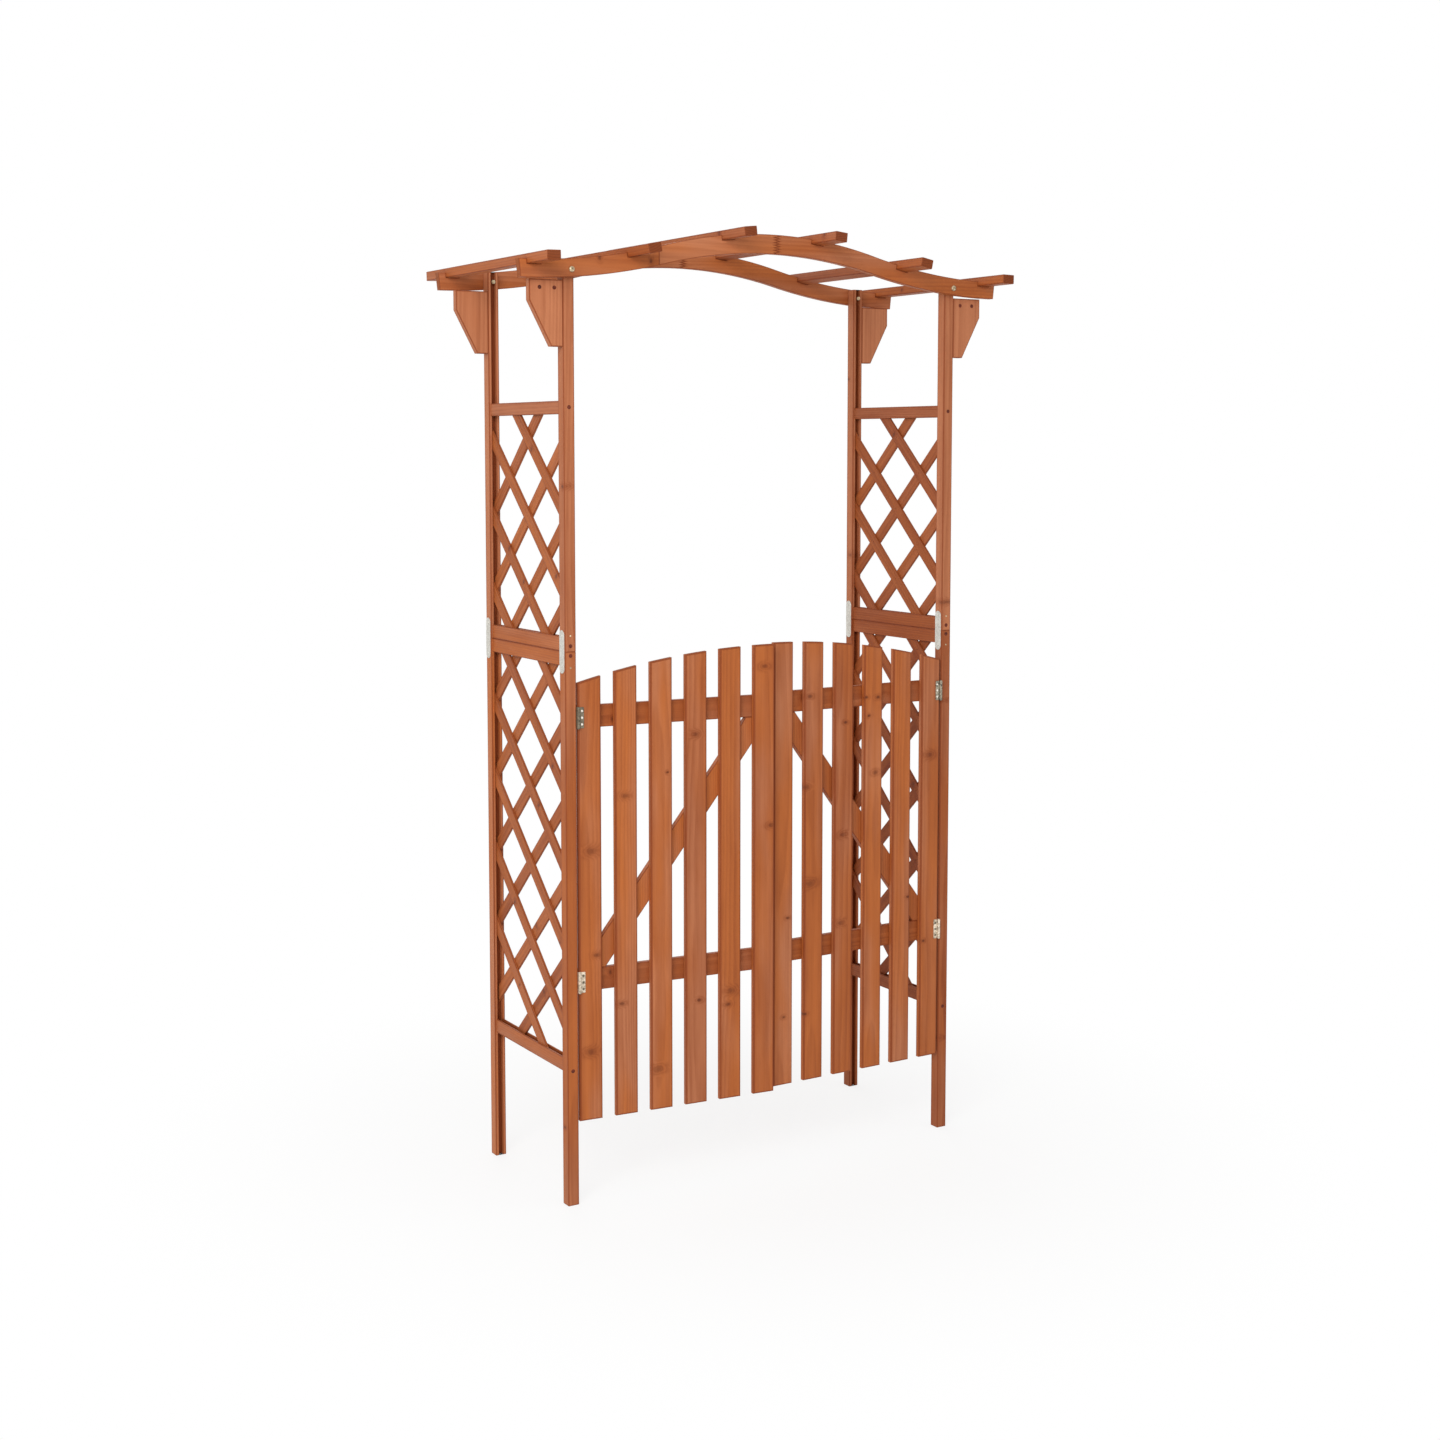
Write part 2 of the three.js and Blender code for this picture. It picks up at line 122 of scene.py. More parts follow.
# %% A network of nodes
class Shader:
    def __init__(self, owner):
        self.owner = owner
        owner.use_nodes = True
        self.tree = owner.node_tree
        self.tree.nodes.clear()

    def node(self, kind, settings=None, sockets=None, output=0):
        """Adds a node, sets its settings first and then its sockets, and returns one output."""
        made = self.tree.nodes.new(kind)
        for key, value in (settings or {}).items():
            setattr(made, key, value)
        for key, value in (sockets or {}).items():
            if isinstance(value, Value):
                self.tree.links.new(value.socket, made.inputs[key])
            else:
                made.inputs[key].default_value = value
        return Value(self, made.outputs[output]) if made.outputs else None

    def maths(self, operation, *values):
        return self.node("ShaderNodeMath", {"operation": operation}, dict(enumerate(values)))

    def attribute(self, name, output="Vector"):
        return self.node("ShaderNodeAttribute", {"attribute_name": name}, output=output)

    def place(self):
        """The Object coordinates."""
        return self.node("ShaderNodeTexCoord", output="Object")

    def split(self, vector):
        """The three numbers of a vector."""
        first = self.node("ShaderNodeSeparateXYZ", sockets={0: vector})
        return [Value(self, socket) for socket in first.socket.node.outputs]

    def join(self, x, y, z):
        return self.node("ShaderNodeCombineXYZ", sockets={0: x, 1: y, 2: z})

    def noise(self, vector, scale, detail=2.0, roughness=0.5, output=0):
        sockets = {"Vector": vector, "Scale": scale, "Detail": detail, "Roughness": roughness}
        return self.node("ShaderNodeTexNoise", sockets=sockets, output=output)

    def ramp(self, value, low, high):
        """0 below low, 1 above high and a smooth step between them."""
        sockets = {"Value": value, "From Min": low, "From Max": high}
        return self.node("ShaderNodeMapRange", {"interpolation_type": "SMOOTHSTEP"}, sockets)

    def mix(self, share, first, second):
        """A colour from first at share 0 to second at share 1."""
        return self.node("ShaderNodeMix", {"data_type": "RGBA"}, {0: share, 6: first, 7: second}, 2)

    def bump(self, height, strength, distance):
        sockets = {"Strength": strength, "Distance": distance, "Height": height}
        return self.node("ShaderNodeBump", sockets=sockets)

    def principled(self, constants, **varying):
        """Constants are set on the surface's own sockets, varying values are linked."""
        linked = {key.replace("_", " "): value for key, value in varying.items()}
        return self.node("ShaderNodeBsdfPrincipled", sockets={**constants, **linked})

    def finish(self, surface, output="ShaderNodeOutputMaterial"):
        self.node(output, sockets={0: surface})
        print(self.owner.name, "has", len(self.tree.nodes), "nodes")
        return self.owner


def srgb(red, green, blue):
    """The linear colour of three numbers from 0 to 255."""
    share = np.array([red, green, blue]) / 255
    linear = np.where(share < 0.04045, share / 12.92, ((share + 0.055) / 1.055) ** 2.4)
    return (*linear.tolist(), 1)


# %% [markdown]
# ## Stained softwood
# A board is sawn from a log, so its grain is cut from growth rings: rings around a pith line that
# passes beside the board and leans a little. The same formula then gives straight lines on a face
# far from the pith, pointed arches on a face close to it and arcs on the end. The stain evens
# everything out, so the rings stay faint, and what shows from a step away are soft cloudy patches,
# some pinkish and some orange, dark spots around the knots and darker end grain. Each board
# carries the attributes that the formula needs:
# - `grain`: the place across, through and along the board,
# - `pith`: where the pith passes and how much it leans,
# - `stain_and_shade`: how dark and how orange the stain is, where the darkness also holds painted
#   shade on some boards, and 1 on eased edges, which get painted shade,
# - `end`: 1 on faces that cut across the grain,
# - `knot_way`: the direction across the board in which a knot's place is measured,
# - `knot_1` to `knot_4`: a knot's place across and along, and its radius.

# %% Wood material
KNOTS = 4
RING_WIDTH, RING_SWAY_X, RING_SWAY_Y, KNOT_SWAY, KNOT_PUSH = 0.0052, 0.022, 0.016, 0.010, 0.012


def stained_wood(name, light, orange, dark, knot_colour):
    """Rings are the distance from the pith over the ring width, late wood is a ramp on its
    fraction, and a knot is a ramp on the distance from its middle over its radius. The stain's
    depth is a weighted sum of patterns, each less its mean."""
    shader = Shader(bpy.data.materials.new(name))
    across, through, along = shader.split(shader.attribute("grain"))
    pith_x, pith_y, lean = shader.split(shader.attribute("pith"))
    # The first number is each board's tone plus painted shade; the third marks eased edges for
    # painted shade.
    tone_and_shade, warmer, edge_shade = shader.split(shader.attribute("stain_and_shade"))
    end = shader.attribute("end", "Fac")
    way_x, way_y, _ = shader.split(shader.attribute("knot_way"))

    def pattern(over, down, detail=2.0, roughness=0.5, output=0):
        """Noise with so many lumps to a metre over the board's section and down its length."""
        at = shader.join(across * over, through * over, along * down)
        return shader.noise(at, 1.0, detail, roughness, output)

    drift_x, drift_y, drift_z = shader.split(pattern(9, 1.6, output=1))
    wobble = pattern(140, 90) - 0.5

    knots, halo = 0.0, 0.0
    for number in range(1, KNOTS + 1):
        knot_x, knot_z, radius = shader.split(shader.attribute(f"knot_{number}"))
        dx = (across * way_x + through * way_y - knot_x) / radius
        dz = (along - knot_z + (drift_y - 0.5) * KNOT_SWAY) / radius
        reach = (dx * dx * 0.40 + dz * dz) ** 0.5 + wobble * 1.1
        strength = 0.74 - 0.36 * shader.ramp(radius, 0.003, 0.0055)
        core = (1 - shader.ramp(reach, 0.25, 1.45)) * strength
        near = 1 - shader.ramp(reach, 0.4, 3.6)
        knots = shader.maths("MAXIMUM", core, knots)
        halo = shader.maths("MAXIMUM", near, halo)

    ring_x = across - pith_x + lean * along + (drift_x - 0.5) * RING_SWAY_X
    ring_y = through - pith_y + (drift_y - 0.5) * RING_SWAY_Y
    distance = (ring_x * ring_x + ring_y * ring_y) ** 0.5
    ring = (distance + halo * halo * KNOT_PUSH) / RING_WIDTH + (drift_z - 0.5) * 1.8
    phase = ring.maths("FRACT")
    late = shader.ramp(phase, 0.15, 0.85) * (1 - shader.ramp(phase, 0.88, 1.0))

    fibre = pattern(700, 12, 3.0, 0.6)
    streak = pattern(95, 1.7, 3.0, 0.55)
    cloud = pattern(26, 5, 3.0, 0.55)
    patch_x, patch_y, _ = shader.split(pattern(14, 2.6, output=1))
    duct = shader.ramp(pattern(1300, 60, 1.0), 0.68, 0.80)

    depth = late * (0.10 + 0.20 * streak) + (fibre - 0.5) * 0.35 + (cloud - 0.5) * 0.62
    depth = depth + (streak - 0.5) * 0.42 + (tone_and_shade - 0.5) * 0.9 + halo * 0.30 + 0.27
    depth = depth.maths("MAXIMUM", 0.0).maths("MINIMUM", 1.0)
    warmth = shader.ramp(patch_x + (warmer - 0.3) * 0.20, 0.34, 0.66)
    colour = shader.mix(warmth, light, orange)
    colour = shader.mix(depth, colour, dark)
    colour = shader.mix(duct * 0.25, colour, dark)
    # Painted shade: eased edges and arrises are darkened towards the dark tone.
    colour = shader.mix(edge_shade * (0.60 + 0.5 * patch_y), colour, dark)
    colour = shader.mix(end * (0.24 + 0.26 * late), colour, knot_colour)
    colour = shader.mix(knots, colour, knot_colour)

    rough = 0.58 + (fibre - 0.5) * 0.25 - late * 0.06 + end * 0.18 - knots * 0.14
    height = late * 0.5 + fibre * 0.8 - duct * 0.6 + knots * 0.5
    surface = shader.principled(
        {"IOR": 1.46, "Specular IOR Level": 0.22}, Base_Color=colour, Roughness=rough,
        Normal=shader.bump(height, 0.30, 0.0004))
    return shader.finish(surface)


wood = stained_wood("stained_wood", srgb(192, 122, 84), srgb(190, 107, 53), srgb(136, 65, 30),
                    srgb(84, 36, 15))
strip_wood = stained_wood("lattice_wood", srgb(194, 116, 72), srgb(190, 109, 57),
                          srgb(136, 66, 30), srgb(86, 38, 16))

# %% [markdown]
# ## Zinc-plated steel
# Plates, hinges and screws are zinc plated: a dull pale grey with a faint crystalline mottle. The
# lower hinges are pale. The upper right one has dark grey-green patches and the upper left one is
# dark
# all over: painted dark reflections. Screws and pins that sit deep in the wood are dark red-brown:
# painted shade of their holes.

# %% Steel materials
SPECK = srgb(96, 94, 92)


def zinc(name, light, dark, roughness, metallic):
    shader = Shader(bpy.data.materials.new(name))
    place = shader.place()
    mottle = shader.noise(place, 260.0, 3.0, 0.6)
    cloud = shader.noise(place, 34.0)
    speck = shader.ramp(shader.noise(place, 900.0, 2.0, 0.6), 0.60, 0.72)
    colour = shader.mix(shader.ramp(mottle * 0.6 + cloud * 0.4, 0.36, 0.64), light, dark)
    colour = shader.mix(speck * 0.35, colour, SPECK)
    rough = roughness + (mottle - 0.5) * 0.25 + (cloud - 0.5) * 0.2
    surface = shader.principled(
        {"Metallic": metallic}, Base_Color=colour, Roughness=rough,
        Normal=shader.bump(mottle, 0.2, 0.0002))
    return shader.finish(surface)


plate_steel = zinc("zinc_plate", srgb(220, 217, 208), srgb(196, 192, 183), 0.42, 0.6)
bright_steel = zinc("bright_screw", srgb(246, 240, 230), srgb(214, 204, 188), 0.35, 0.7)
bolt_steel = zinc("bolt_zinc", srgb(226, 208, 172), srgb(132, 112, 84), 0.38, 0.6)
pale_steel = zinc("pale_hinge", srgb(252, 236, 212), srgb(164, 150, 128), 0.42, 0.4)
# The upper hinges' dark plates are painted dark reflections.
mottled_steel = zinc("mottled_hinge", srgb(176, 168, 148), srgb(26, 26, 20), 0.50, 0.4)
dark_hinge_steel = zinc("dark_hinge", srgb(136, 126, 106), srgb(84, 76, 62), 0.5, 0.5)
# The dark red-brown of sunk screws and pins is painted shade of their holes.
sunk_steel = zinc("sunk_screw", srgb(116, 44, 20), srgb(70, 26, 12), 0.9, 0.0)

# %% [markdown]
# ## Boards
# Every wooden piece is a prism: an outline, a thickness, and edges that a plane has eased to a
# small radius. The outline is drawn counter-clockwise and carried through the thickness, and at
# both faces it shrinks along a quarter circle. The outline of a post or rail is its section.

# %% The prism
MARGIN = 0.0014


def inset(outline, amount):
    """Each corner moves inwards along its mitre: the sum of the two inward edge normals, divided
    by one plus their dot product, times the amount."""
    step = np.roll(outline, -1, axis=0) - outline
    step /= np.linalg.norm(step, axis=1, keepdims=True)
    after = np.stack([-step[:, 1], step[:, 0]], axis=1)
    before = np.roll(after, 1, axis=0)
    mitre = (before + after) / (1 + (before * after).sum(axis=1, keepdims=True))
    return outline + amount * mitre


def eased_end(ease, on_face, margin, steps=3):
    """Inset, depth and painted-shade mask of the rings near one face. The inset follows ease * (1 -
    sin t) and the depth ease * (1 - cos t), with t from 0 to a quarter turn. A ring a margin further
    down the side, and one further in on the face if wanted, keep the edge's painted shade to the
    edge."""
    turn = np.linspace(0, np.pi / 2, steps + 1)
    rings = np.stack([ease * (1 - np.sin(turn)), ease * (1 - np.cos(turn)), np.ones(steps + 1)])
    inner = [[ease + margin], [0], [0]] if on_face else np.zeros((3, 0))
    return np.hstack([inner, rings, [[0], [ease + margin], [0]]])


def prism(outline, depth, ease, on_face=True, margin=MARGIN):
    """Rings of the outline from depth 0 to the full depth. The ease is one radius for both faces
    or a pair, for the face at depth 0 and the other one."""
    near, far = np.broadcast_to(ease, 2)
    first, last = eased_end(near, on_face, margin), eased_end(far, on_face, margin)[:, ::-1]
    last[1] = depth - last[1]
    insets, depths, edge_shade = np.hstack([first, last])
    rings = np.stack([inset(outline, amount) for amount in insets])
    level = np.broadcast_to(depths[:, None, None], (*rings.shape[:2], 1))
    points = np.concatenate([rings, level], axis=2)
    return points, np.repeat(edge_shade, rings.shape[1])


def prism_faces(ring_count, side_count):
    """Quads between neighbouring rings and one many-sided face at each end."""
    first = np.arange(side_count)
    second = np.roll(first, -1)
    start = np.arange(ring_count - 1)[:, None] * side_count
    quads = np.stack(
        [start + first, start + second, start + side_count + second, start + side_count + first],
        axis=2).reshape(-1, 4)
    last = (ring_count - 1) * side_count + first
    return [*quads.tolist(), first[::-1].tolist(), last.tolist()]


# %% Rounded corners
STRAIGHT_SHARE = 0.3


def rounded(corners, radius, steps=3):
    """Each corner of a polygon becomes an arc. It starts and ends at the radius times the tangent
    of half the turn from the corner, and its points lie at equal angles about the arc's centre.
    One more point a margin before and after each arc, at most a share of the straight part, keeps
    the painted shade on the arris: the second result is 1 on the arcs and 0 on those points."""
    corners = np.asarray(corners, float)
    radius = np.broadcast_to(radius, len(corners)).astype(float)
    step = np.roll(corners, -1, axis=0) - corners
    length = np.linalg.norm(step, axis=1)
    step /= length[:, None]
    before = np.roll(step, 1, axis=0)
    cross = before[:, 0] * step[:, 1] - before[:, 1] * step[:, 0]
    turn = np.arctan2(cross, (before * step).sum(axis=1))
    normal = np.stack([-before[:, 1], before[:, 0]], axis=1) * np.sign(cross)[:, None]
    tangent = radius * np.abs(np.tan(turn / 2))
    start = corners - before * tangent[:, None]
    margin = np.minimum(MARGIN, STRAIGHT_SHARE * (length - tangent - np.roll(tangent, -1)))
    angle = np.abs(turn)[:, None, None] * np.linspace(0, 1, steps + 1)[None, :, None]
    ahead = before[:, None, :] * np.sin(angle)
    inwards = normal[:, None, :] * (1 - np.cos(angle))
    arcs = start[:, None, :] + (ahead + inwards) * radius[:, None, None]
    lead = arcs[:, :1] - (before * np.roll(margin, 1)[:, None])[:, None, :]
    trail = arcs[:, -1:] + (step * margin[:, None])[:, None, :]
    arris = np.tile(np.r_[0.0, np.ones(steps + 1), 0.0], len(corners))
    return np.concatenate([lead, arcs, trail], axis=1).reshape(-1, 2), arris


# %% [markdown]
# A board's prism is drawn in its own axes and then put in place by three directions: the outline's
# first and second axis, and the direction of the thickness, which is their cross product. The
# grain runs along one of the three. A board's own random numbers choose where in the log it was,
# so that no two boards look the same. Knots are given as (across, along, radius) from the board's
# middle, or left to chance.

# %% Meshes and their attributes
def add_mesh(name, points, faces, material):
    mesh = bpy.data.meshes.new(name)
    mesh.from_pydata(np.asarray(points).tolist(), [], faces)
    mesh.materials.append(material)
    piece = bpy.data.objects.new(name, mesh)
    scene.collection.objects.link(piece)
    return piece


def store(mesh, name, values, domain="POINT"):
    """One row for the whole mesh, or one for each point or face."""
    values = np.asarray(values, np.float32)
    count = len(mesh.vertices if domain == "POINT" else mesh.polygons)
    if values.ndim == 1 and len(values) != count:
        values = np.tile(values, (count, 1))
    kind, field = ("FLOAT_VECTOR", "vector") if values.ndim == 2 else ("FLOAT", "value")
    mesh.attributes.new(name, kind, domain).data.foreach_set(field, values.ravel())


# %% Put a board in place
SEED = 11
chance = np.random.default_rng(SEED)
GRAIN_ORDER = {"first": [1, 2, 0], "second": [0, 2, 1], "depth": [0, 1, 2]}
END_GRAIN, LONG_BOARD = 0.8, 0.3
KNOT_ODDS, KNOT_RADII, FAR_KNOT = (0.35, 0.4, 0.25), (0.0025, 0.005), (0, 9, 0.001)


def board(name, node, body, outline, depth, origin, first, second, grain="second", ease=0.0012,
          arris=0.0, shade_and_tone=0.0, knots=None, knot_way=(1, 0), dark=None, warm=None, material=wood,
          slot="stained_wood"):
    """Point = origin + a * first + b * second + d * (first x second), for a point (a, b) of an
    inset outline at depth d. One argument gives how much darker each point of the outline is:
    painted shade in grooves and on the shaded boards, and the board's own tone elsewhere."""
    local, edge_shade = prism(np.asarray(outline, float), depth, ease, on_face=grain != "depth")
    faces = prism_faces(*local.shape[:2])
    arris, shade_and_tone = [np.broadcast_to(own, local.shape[:2]).ravel() for own in (arris, shade_and_tone)]
    edge_shade = np.maximum(edge_shade, arris)
    local = local.reshape(-1, 3)
    axes = np.array([first, second, np.cross(first, second)], float)
    piece = add_mesh(name, np.asarray(origin, float) + local @ axes, faces, material)
    mesh = piece.data

    order = GRAIN_ORDER[grain]
    low, high = local.min(axis=0), local.max(axis=0)
    size = (high - low)[order]
    shift = chance.uniform(0, 40, 3)
    store(mesh, "grain", (local - (low + high) / 2)[:, order] + shift)

    beside = chance.choice([-1, 1], 2) * chance.uniform((0.0, 0.025), (0.03, 0.09))
    pith = shift[:2] + size[:2] * chance.uniform(-0.4, 0.4, 2) + beside
    lean = chance.uniform(-0.02, 0.02)
    store(mesh, "pith", [pith[0] + lean * shift[2], pith[1], lean])
    tone = chance.uniform((0.36, 0.1), (0.64, 0.9))
    dark = tone[0] if dark is None else dark
    warm = tone[1] if warm is None else warm
    # The darkness adds painted shade where given; the edge mask paints shade on eased edges.
    store(mesh, "stain_and_shade", np.stack([dark + shade_and_tone, np.full(len(edge_shade), warm), edge_shade], axis=1))

    normals = np.zeros(len(mesh.polygons) * 3)
    mesh.polygons.foreach_get("normal", normals)
    squareness = np.abs(normals.reshape(-1, 3) @ axes[order[2]])
    store(mesh, "end", squareness > END_GRAIN, "FACE")

    if knots is None:
        width = np.abs(np.dot(knot_way, size[:2]))
        count = chance.choice([0, 1, 2], p=KNOT_ODDS) if size[2] > LONG_BOARD else 0
        knots = [(width * chance.uniform(-0.4, 0.4), size[2] * chance.uniform(-0.45, 0.45),
                  chance.uniform(*KNOT_RADII)) for _ in range(count)]
    store(mesh, "knot_way", [*knot_way, 0])
    for number, (a, b, radius) in enumerate([*knots, *[FAR_KNOT] * KNOTS][:KNOTS], 1):
        store(mesh, f"knot_{number}", [a + np.dot(knot_way, shift[:2]), b + shift[2], radius])
    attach(piece, body)
    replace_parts(piece, node)


def count_pieces(*starts):
    return sum(piece.name.startswith(starts) for piece in scene.objects)


# %% [markdown]
# ## Posts
# Each corner post is 25 mm square and made of a lower and an upper length. A groove, 10 mm wide
# and deep, runs down the face towards the side panel and takes the lattice. Its floor is painted
# darker, as painted shade. The stain of the upper lengths, the top rails and the brackets has faded
# to a paler pink. The lower posts on the right are painted darker, as painted shade of that side.

# %% Draw the section of a grooved bar
# The groove's floor is darkened by this much: painted shade in the groove.
GROOVE, GROOVE_FLOOR_SHADE = 0.010, 1.2


def mirrored(outline):
    """Left and right change places, and so do first and last, to stay counter-clockwise."""
    return (outline * (-1, 1))[::-1]


def grooved_section(half, low, high, floor, radii):
    """The outline of a bar with a groove in its upper edge, its arris and how much darker each
    point is, as painted shade. One side has four corners, from the bottom up and down to the
    groove's floor, which gets the painted shade, and the other side mirrors them."""
    mouth = GROOVE / 2
    corners = np.array([(half, low), (half, high), (mouth, high), (mouth, floor)])
    outline, arris = rounded([*corners, *mirrored(corners)], [*radii, *radii[::-1]])
    corner = np.arange(len(arris)) * 8 // len(arris)
    return outline, arris, np.where((corner == 3) | (corner == 4), GROOVE_FLOOR_SHADE, 0.0)


# %% Make the posts
POST_SIDE, POST_RADII = 0.025, (0.0015, 0.0015, 0.0007, 0.0006)
POST_X, POST_Y, JOINT_Z = 0.4825, 0.18, 1.170
ROWS = (("front", -1), ("back", 1))
SIDES = (("left", -1), ("right", 1))
CORNERS = [(f"{row_word}_{side_word}", row, side)
           for row_word, row in ROWS for side_word, side in SIDES]
POST_KNOTS = {
    "post_front_left_upper": [(-0.006, -0.060, 0.0036)],
    "post_front_left_lower": [(0.002, -0.42, 0.003)],
}
# The boards' own tones; the two right lower posts are darker as painted shade of that side.
POST_TONE_AND_SHADE = {"post_front_right_lower": 0.85, "post_back_right_lower": 0.7,
             "post_back_left_lower": 0.20, "post_back_left_upper": 0.30,
             "post_front_left_upper": 0.54, "post_front_right_upper": 0.42}
FADED = -1.0
half = POST_SIDE / 2
post_section, post_arris, post_groove_shade = grooved_section(
    half, -half, half, half - GROOVE, POST_RADII)
for corner, row, side in CORNERS:
    for length_word, warm in (("lower", None), ("upper", FADED)):
        node = f"post_{corner}_{length_word}"
        low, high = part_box(node)
        board(f"wood_{node}", node, "frame", -row * post_section, high.z - low.z,
              (side * POST_X, row * POST_Y, low.z), X, Y, grain="depth", ease=0.0008,
              arris=post_arris, shade_and_tone=post_groove_shade, knots=POST_KNOTS.get(node), knot_way=(0, 1),
              dark=POST_TONE_AND_SHADE.get(node), warm=warm)
print("post lengths:", count_pieces("wood_post"))

# %% [markdown]
# ## Rails
# Four rails tie each front post to the back post behind it. Two of them lie on each other at the
# joint of the posts. Each has the lattice's groove in one edge, with painted shade on its floor. The
# rails on the right are painted darker, as painted shade of that side.

# %% Make the rails
RAIL_WIDTH, RAIL_GROOVE, RAIL_RADII = 0.017, 0.008, (0.0016, 0.0008, 0.0004, 0.0004)
# The rails on the right are darker: painted shade of that side.
RAIL_TONE_AND_SHADE = {"left": 0.52, "right": 0.92}
GROOVE_ON_TOP = {"bottom": True, "lower_mid": False, "upper_mid": True, "top": False}
for side_word, side in SIDES:
    for rail_word, on_top in GROOVE_ON_TOP.items():
        node = f"rail_{side_word}_{rail_word}"
        low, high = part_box(node)
        height = high.z - low.z
        section, arris, shade_and_tone = grooved_section(
            RAIL_WIDTH / 2, 0, height, height - RAIL_GROOVE, RAIL_RADII)
        board(f"wood_{node}", node, "frame", section if on_top else (0, height) - section,
              high.y - low.y, (side * POST_X, high.y, low.z), X, Z, grain="depth", ease=0.0002,
              arris=arris, shade_and_tone=shade_and_tone, knots=[], dark=RAIL_TONE_AND_SHADE[side_word],
              warm=FADED if rail_word == "top" else None)
print("rails:", count_pieces("wood_rail"))

# %% [markdown]
# ## Lattice
# The lattice is two layers of flat strips that cross, and it is cut to the panel so that the ends
# of the strips hide in the grooves. A strip's outline is a long rectangle, cut back by the four
# sides of the panel. It is then drawn along the strip, so that the grain follows the slant.

# %% Cut the strips to the panel
STRIP_WIDTH, STRIP_THICKNESS, LAYER_BITE = 0.028, 0.005, 0.0004
SLANT_RISE, SLANT_RUN = 0.167, 0.178
SLANT = math.atan2(SLANT_RISE, SLANT_RUN)
INNER_Y, SHORTEST_RUN, STRIP_LIMIT = 0.1675, 0.080, 20
BITE_Y, BITE_Z = 0.009, 0.007


def cut(outline, normal, limit):
    """Keeps the part of a convex outline whose dot product with the normal stays below the limit.
    A corner stays if it is inside, and each side that crosses the line adds the crossing."""
    room = limit - outline @ np.asarray(normal, float)
    after = np.roll(room, -1)
    crosses = (room > 0) != (after > 0)
    share = room / np.where(crosses, room - after, 1)
    crossing = outline + share[:, None] * (np.roll(outline, -1, axis=0) - outline)
    both = np.stack([outline, crossing], axis=1).reshape(-1, 2)
    return both[np.stack([room > 0, crosses], axis=1).ravel()]


def strip_outline(middle, along, across, bottom, top):
    """A rectangle about a line through (0, middle), cut where it has bitten into the grooves and
    then measured along and across the strip."""
    outline = np.array([(-1, -1), (1, -1), (1, 1), (-1, 1)]) * (1.0, STRIP_WIDTH / 2)
    outline = outline @ np.array([along, across]) + (0, middle)
    reach, low, high = INNER_Y + BITE_Y, bottom - BITE_Z, top + BITE_Z
    for normal, limit in (((1, 0), reach), ((-1, 0), reach), ((0, 1), high), ((0, -1), -low)):
        outline = cut(outline, normal, limit)
    return (outline - (0, middle)) @ np.array([along, across]).T


def strip_heights(bottom, top, first_crossing):
    """Crossings lie one rise apart. A strip that would run less than the shortest one is left
    out: its run is its visible rise divided by the sine of the slant."""
    reach = INNER_Y * math.tan(SLANT)
    middle = bottom + first_crossing + np.arange(-STRIP_LIMIT, STRIP_LIMIT) * SLANT_RISE
    rise = np.minimum(top, middle + reach) - np.maximum(bottom, middle - reach)
    return middle[rise / math.sin(SLANT) >= SHORTEST_RUN]


print("slant of the strips:", round(math.degrees(SLANT), 1), "degrees")

# %% [markdown]
# A panel is given by its bottom, its top and the height of its first crossing above the bottom. The
# strips on the right are painted darker, as painted shade of that side.

# %% Make the lattice strips
PANELS = {"lower": (0.313, 1.140, 0.053), "upper": (1.200, 1.657, 0.079)}
# The strips' own tone on the left; on the right more, as painted shade of that side.
STRIP_TONE_AND_SHADE = {"left": 0.18, "right": 0.40}
depth = STRIP_THICKNESS - LAYER_BITE / 2
for side_word, side in SIDES:
    for panel_word, (bottom, top, first_crossing) in PANELS.items():
        node = f"lattice_{side_word}_{panel_word}"
        for slant_word, slant in (("rising", 1), ("falling", -1)):
            along = np.array([math.cos(SLANT), slant * math.sin(SLANT)])
            across = np.array([-along[1], along[0]])
            layer = side * POST_X - slant * (STRIP_THICKNESS - LAYER_BITE) / 2 - depth / 2
            for number, middle in enumerate(strip_heights(bottom, top, first_crossing), 1):
                outline = strip_outline(middle, along, across, bottom, top)
                board(f"strip_{side_word}_{panel_word}_{slant_word}_{number}", node, "frame",
                      outline, depth, (layer, 0, middle), (0, *along), (0, *across), grain="first",
                      ease=0.0008, shade_and_tone=STRIP_TONE_AND_SHADE[side_word], material=strip_wood,
                      slot="lattice_wood")
print("strips:", count_pieces("strip_"))

# %% [markdown]
# ## Curved beams
# Each edge of a beam is an arc, convex over the middle, that runs on without a kink in a concave
# arc towards the end. Notches cut square to the curve take the rafters. Two halves are glued with
# pointed fingers at the middle, whose zigzag shows as a row of small dark marks. The left half of
# the front beam has one more seam, a plain one, 0.28 m from the middle.

# %% The curve of a beam
BEAM_HALF, BEAM_THICKNESS, END_RAKE = 0.6, 0.016, 0.004
BEAM_CROWN, BEAM_END, CROWN_BAND, END_BAND = 2.041, 1.964, 0.041, 0.037
UPPER_EDGE = (BEAM_CROWN, BEAM_END)
LOWER_EDGE = (BEAM_CROWN - CROWN_BAND, BEAM_END - END_BAND)
TURN_X = 0.44 * BEAM_HALF


def edge_at(x, crown, end):
    """Height and slope of an edge: both arcs turn by the same angle, whose half has the tangent
    rise over half length, and each radius is its own span over the sine of that angle."""
    turn = 2 * math.atan2(crown - end, BEAM_HALF)
    x = np.abs(x)
    inner = x < TURN_X
    radius = np.where(inner, TURN_X, BEAM_HALF - TURN_X) / math.sin(turn)
    slope = np.arcsin(np.where(inner, x, BEAM_HALF - x) / radius)
    drop = radius * (1 - np.cos(slope))
    return np.where(inner, crown - drop, end + drop), slope


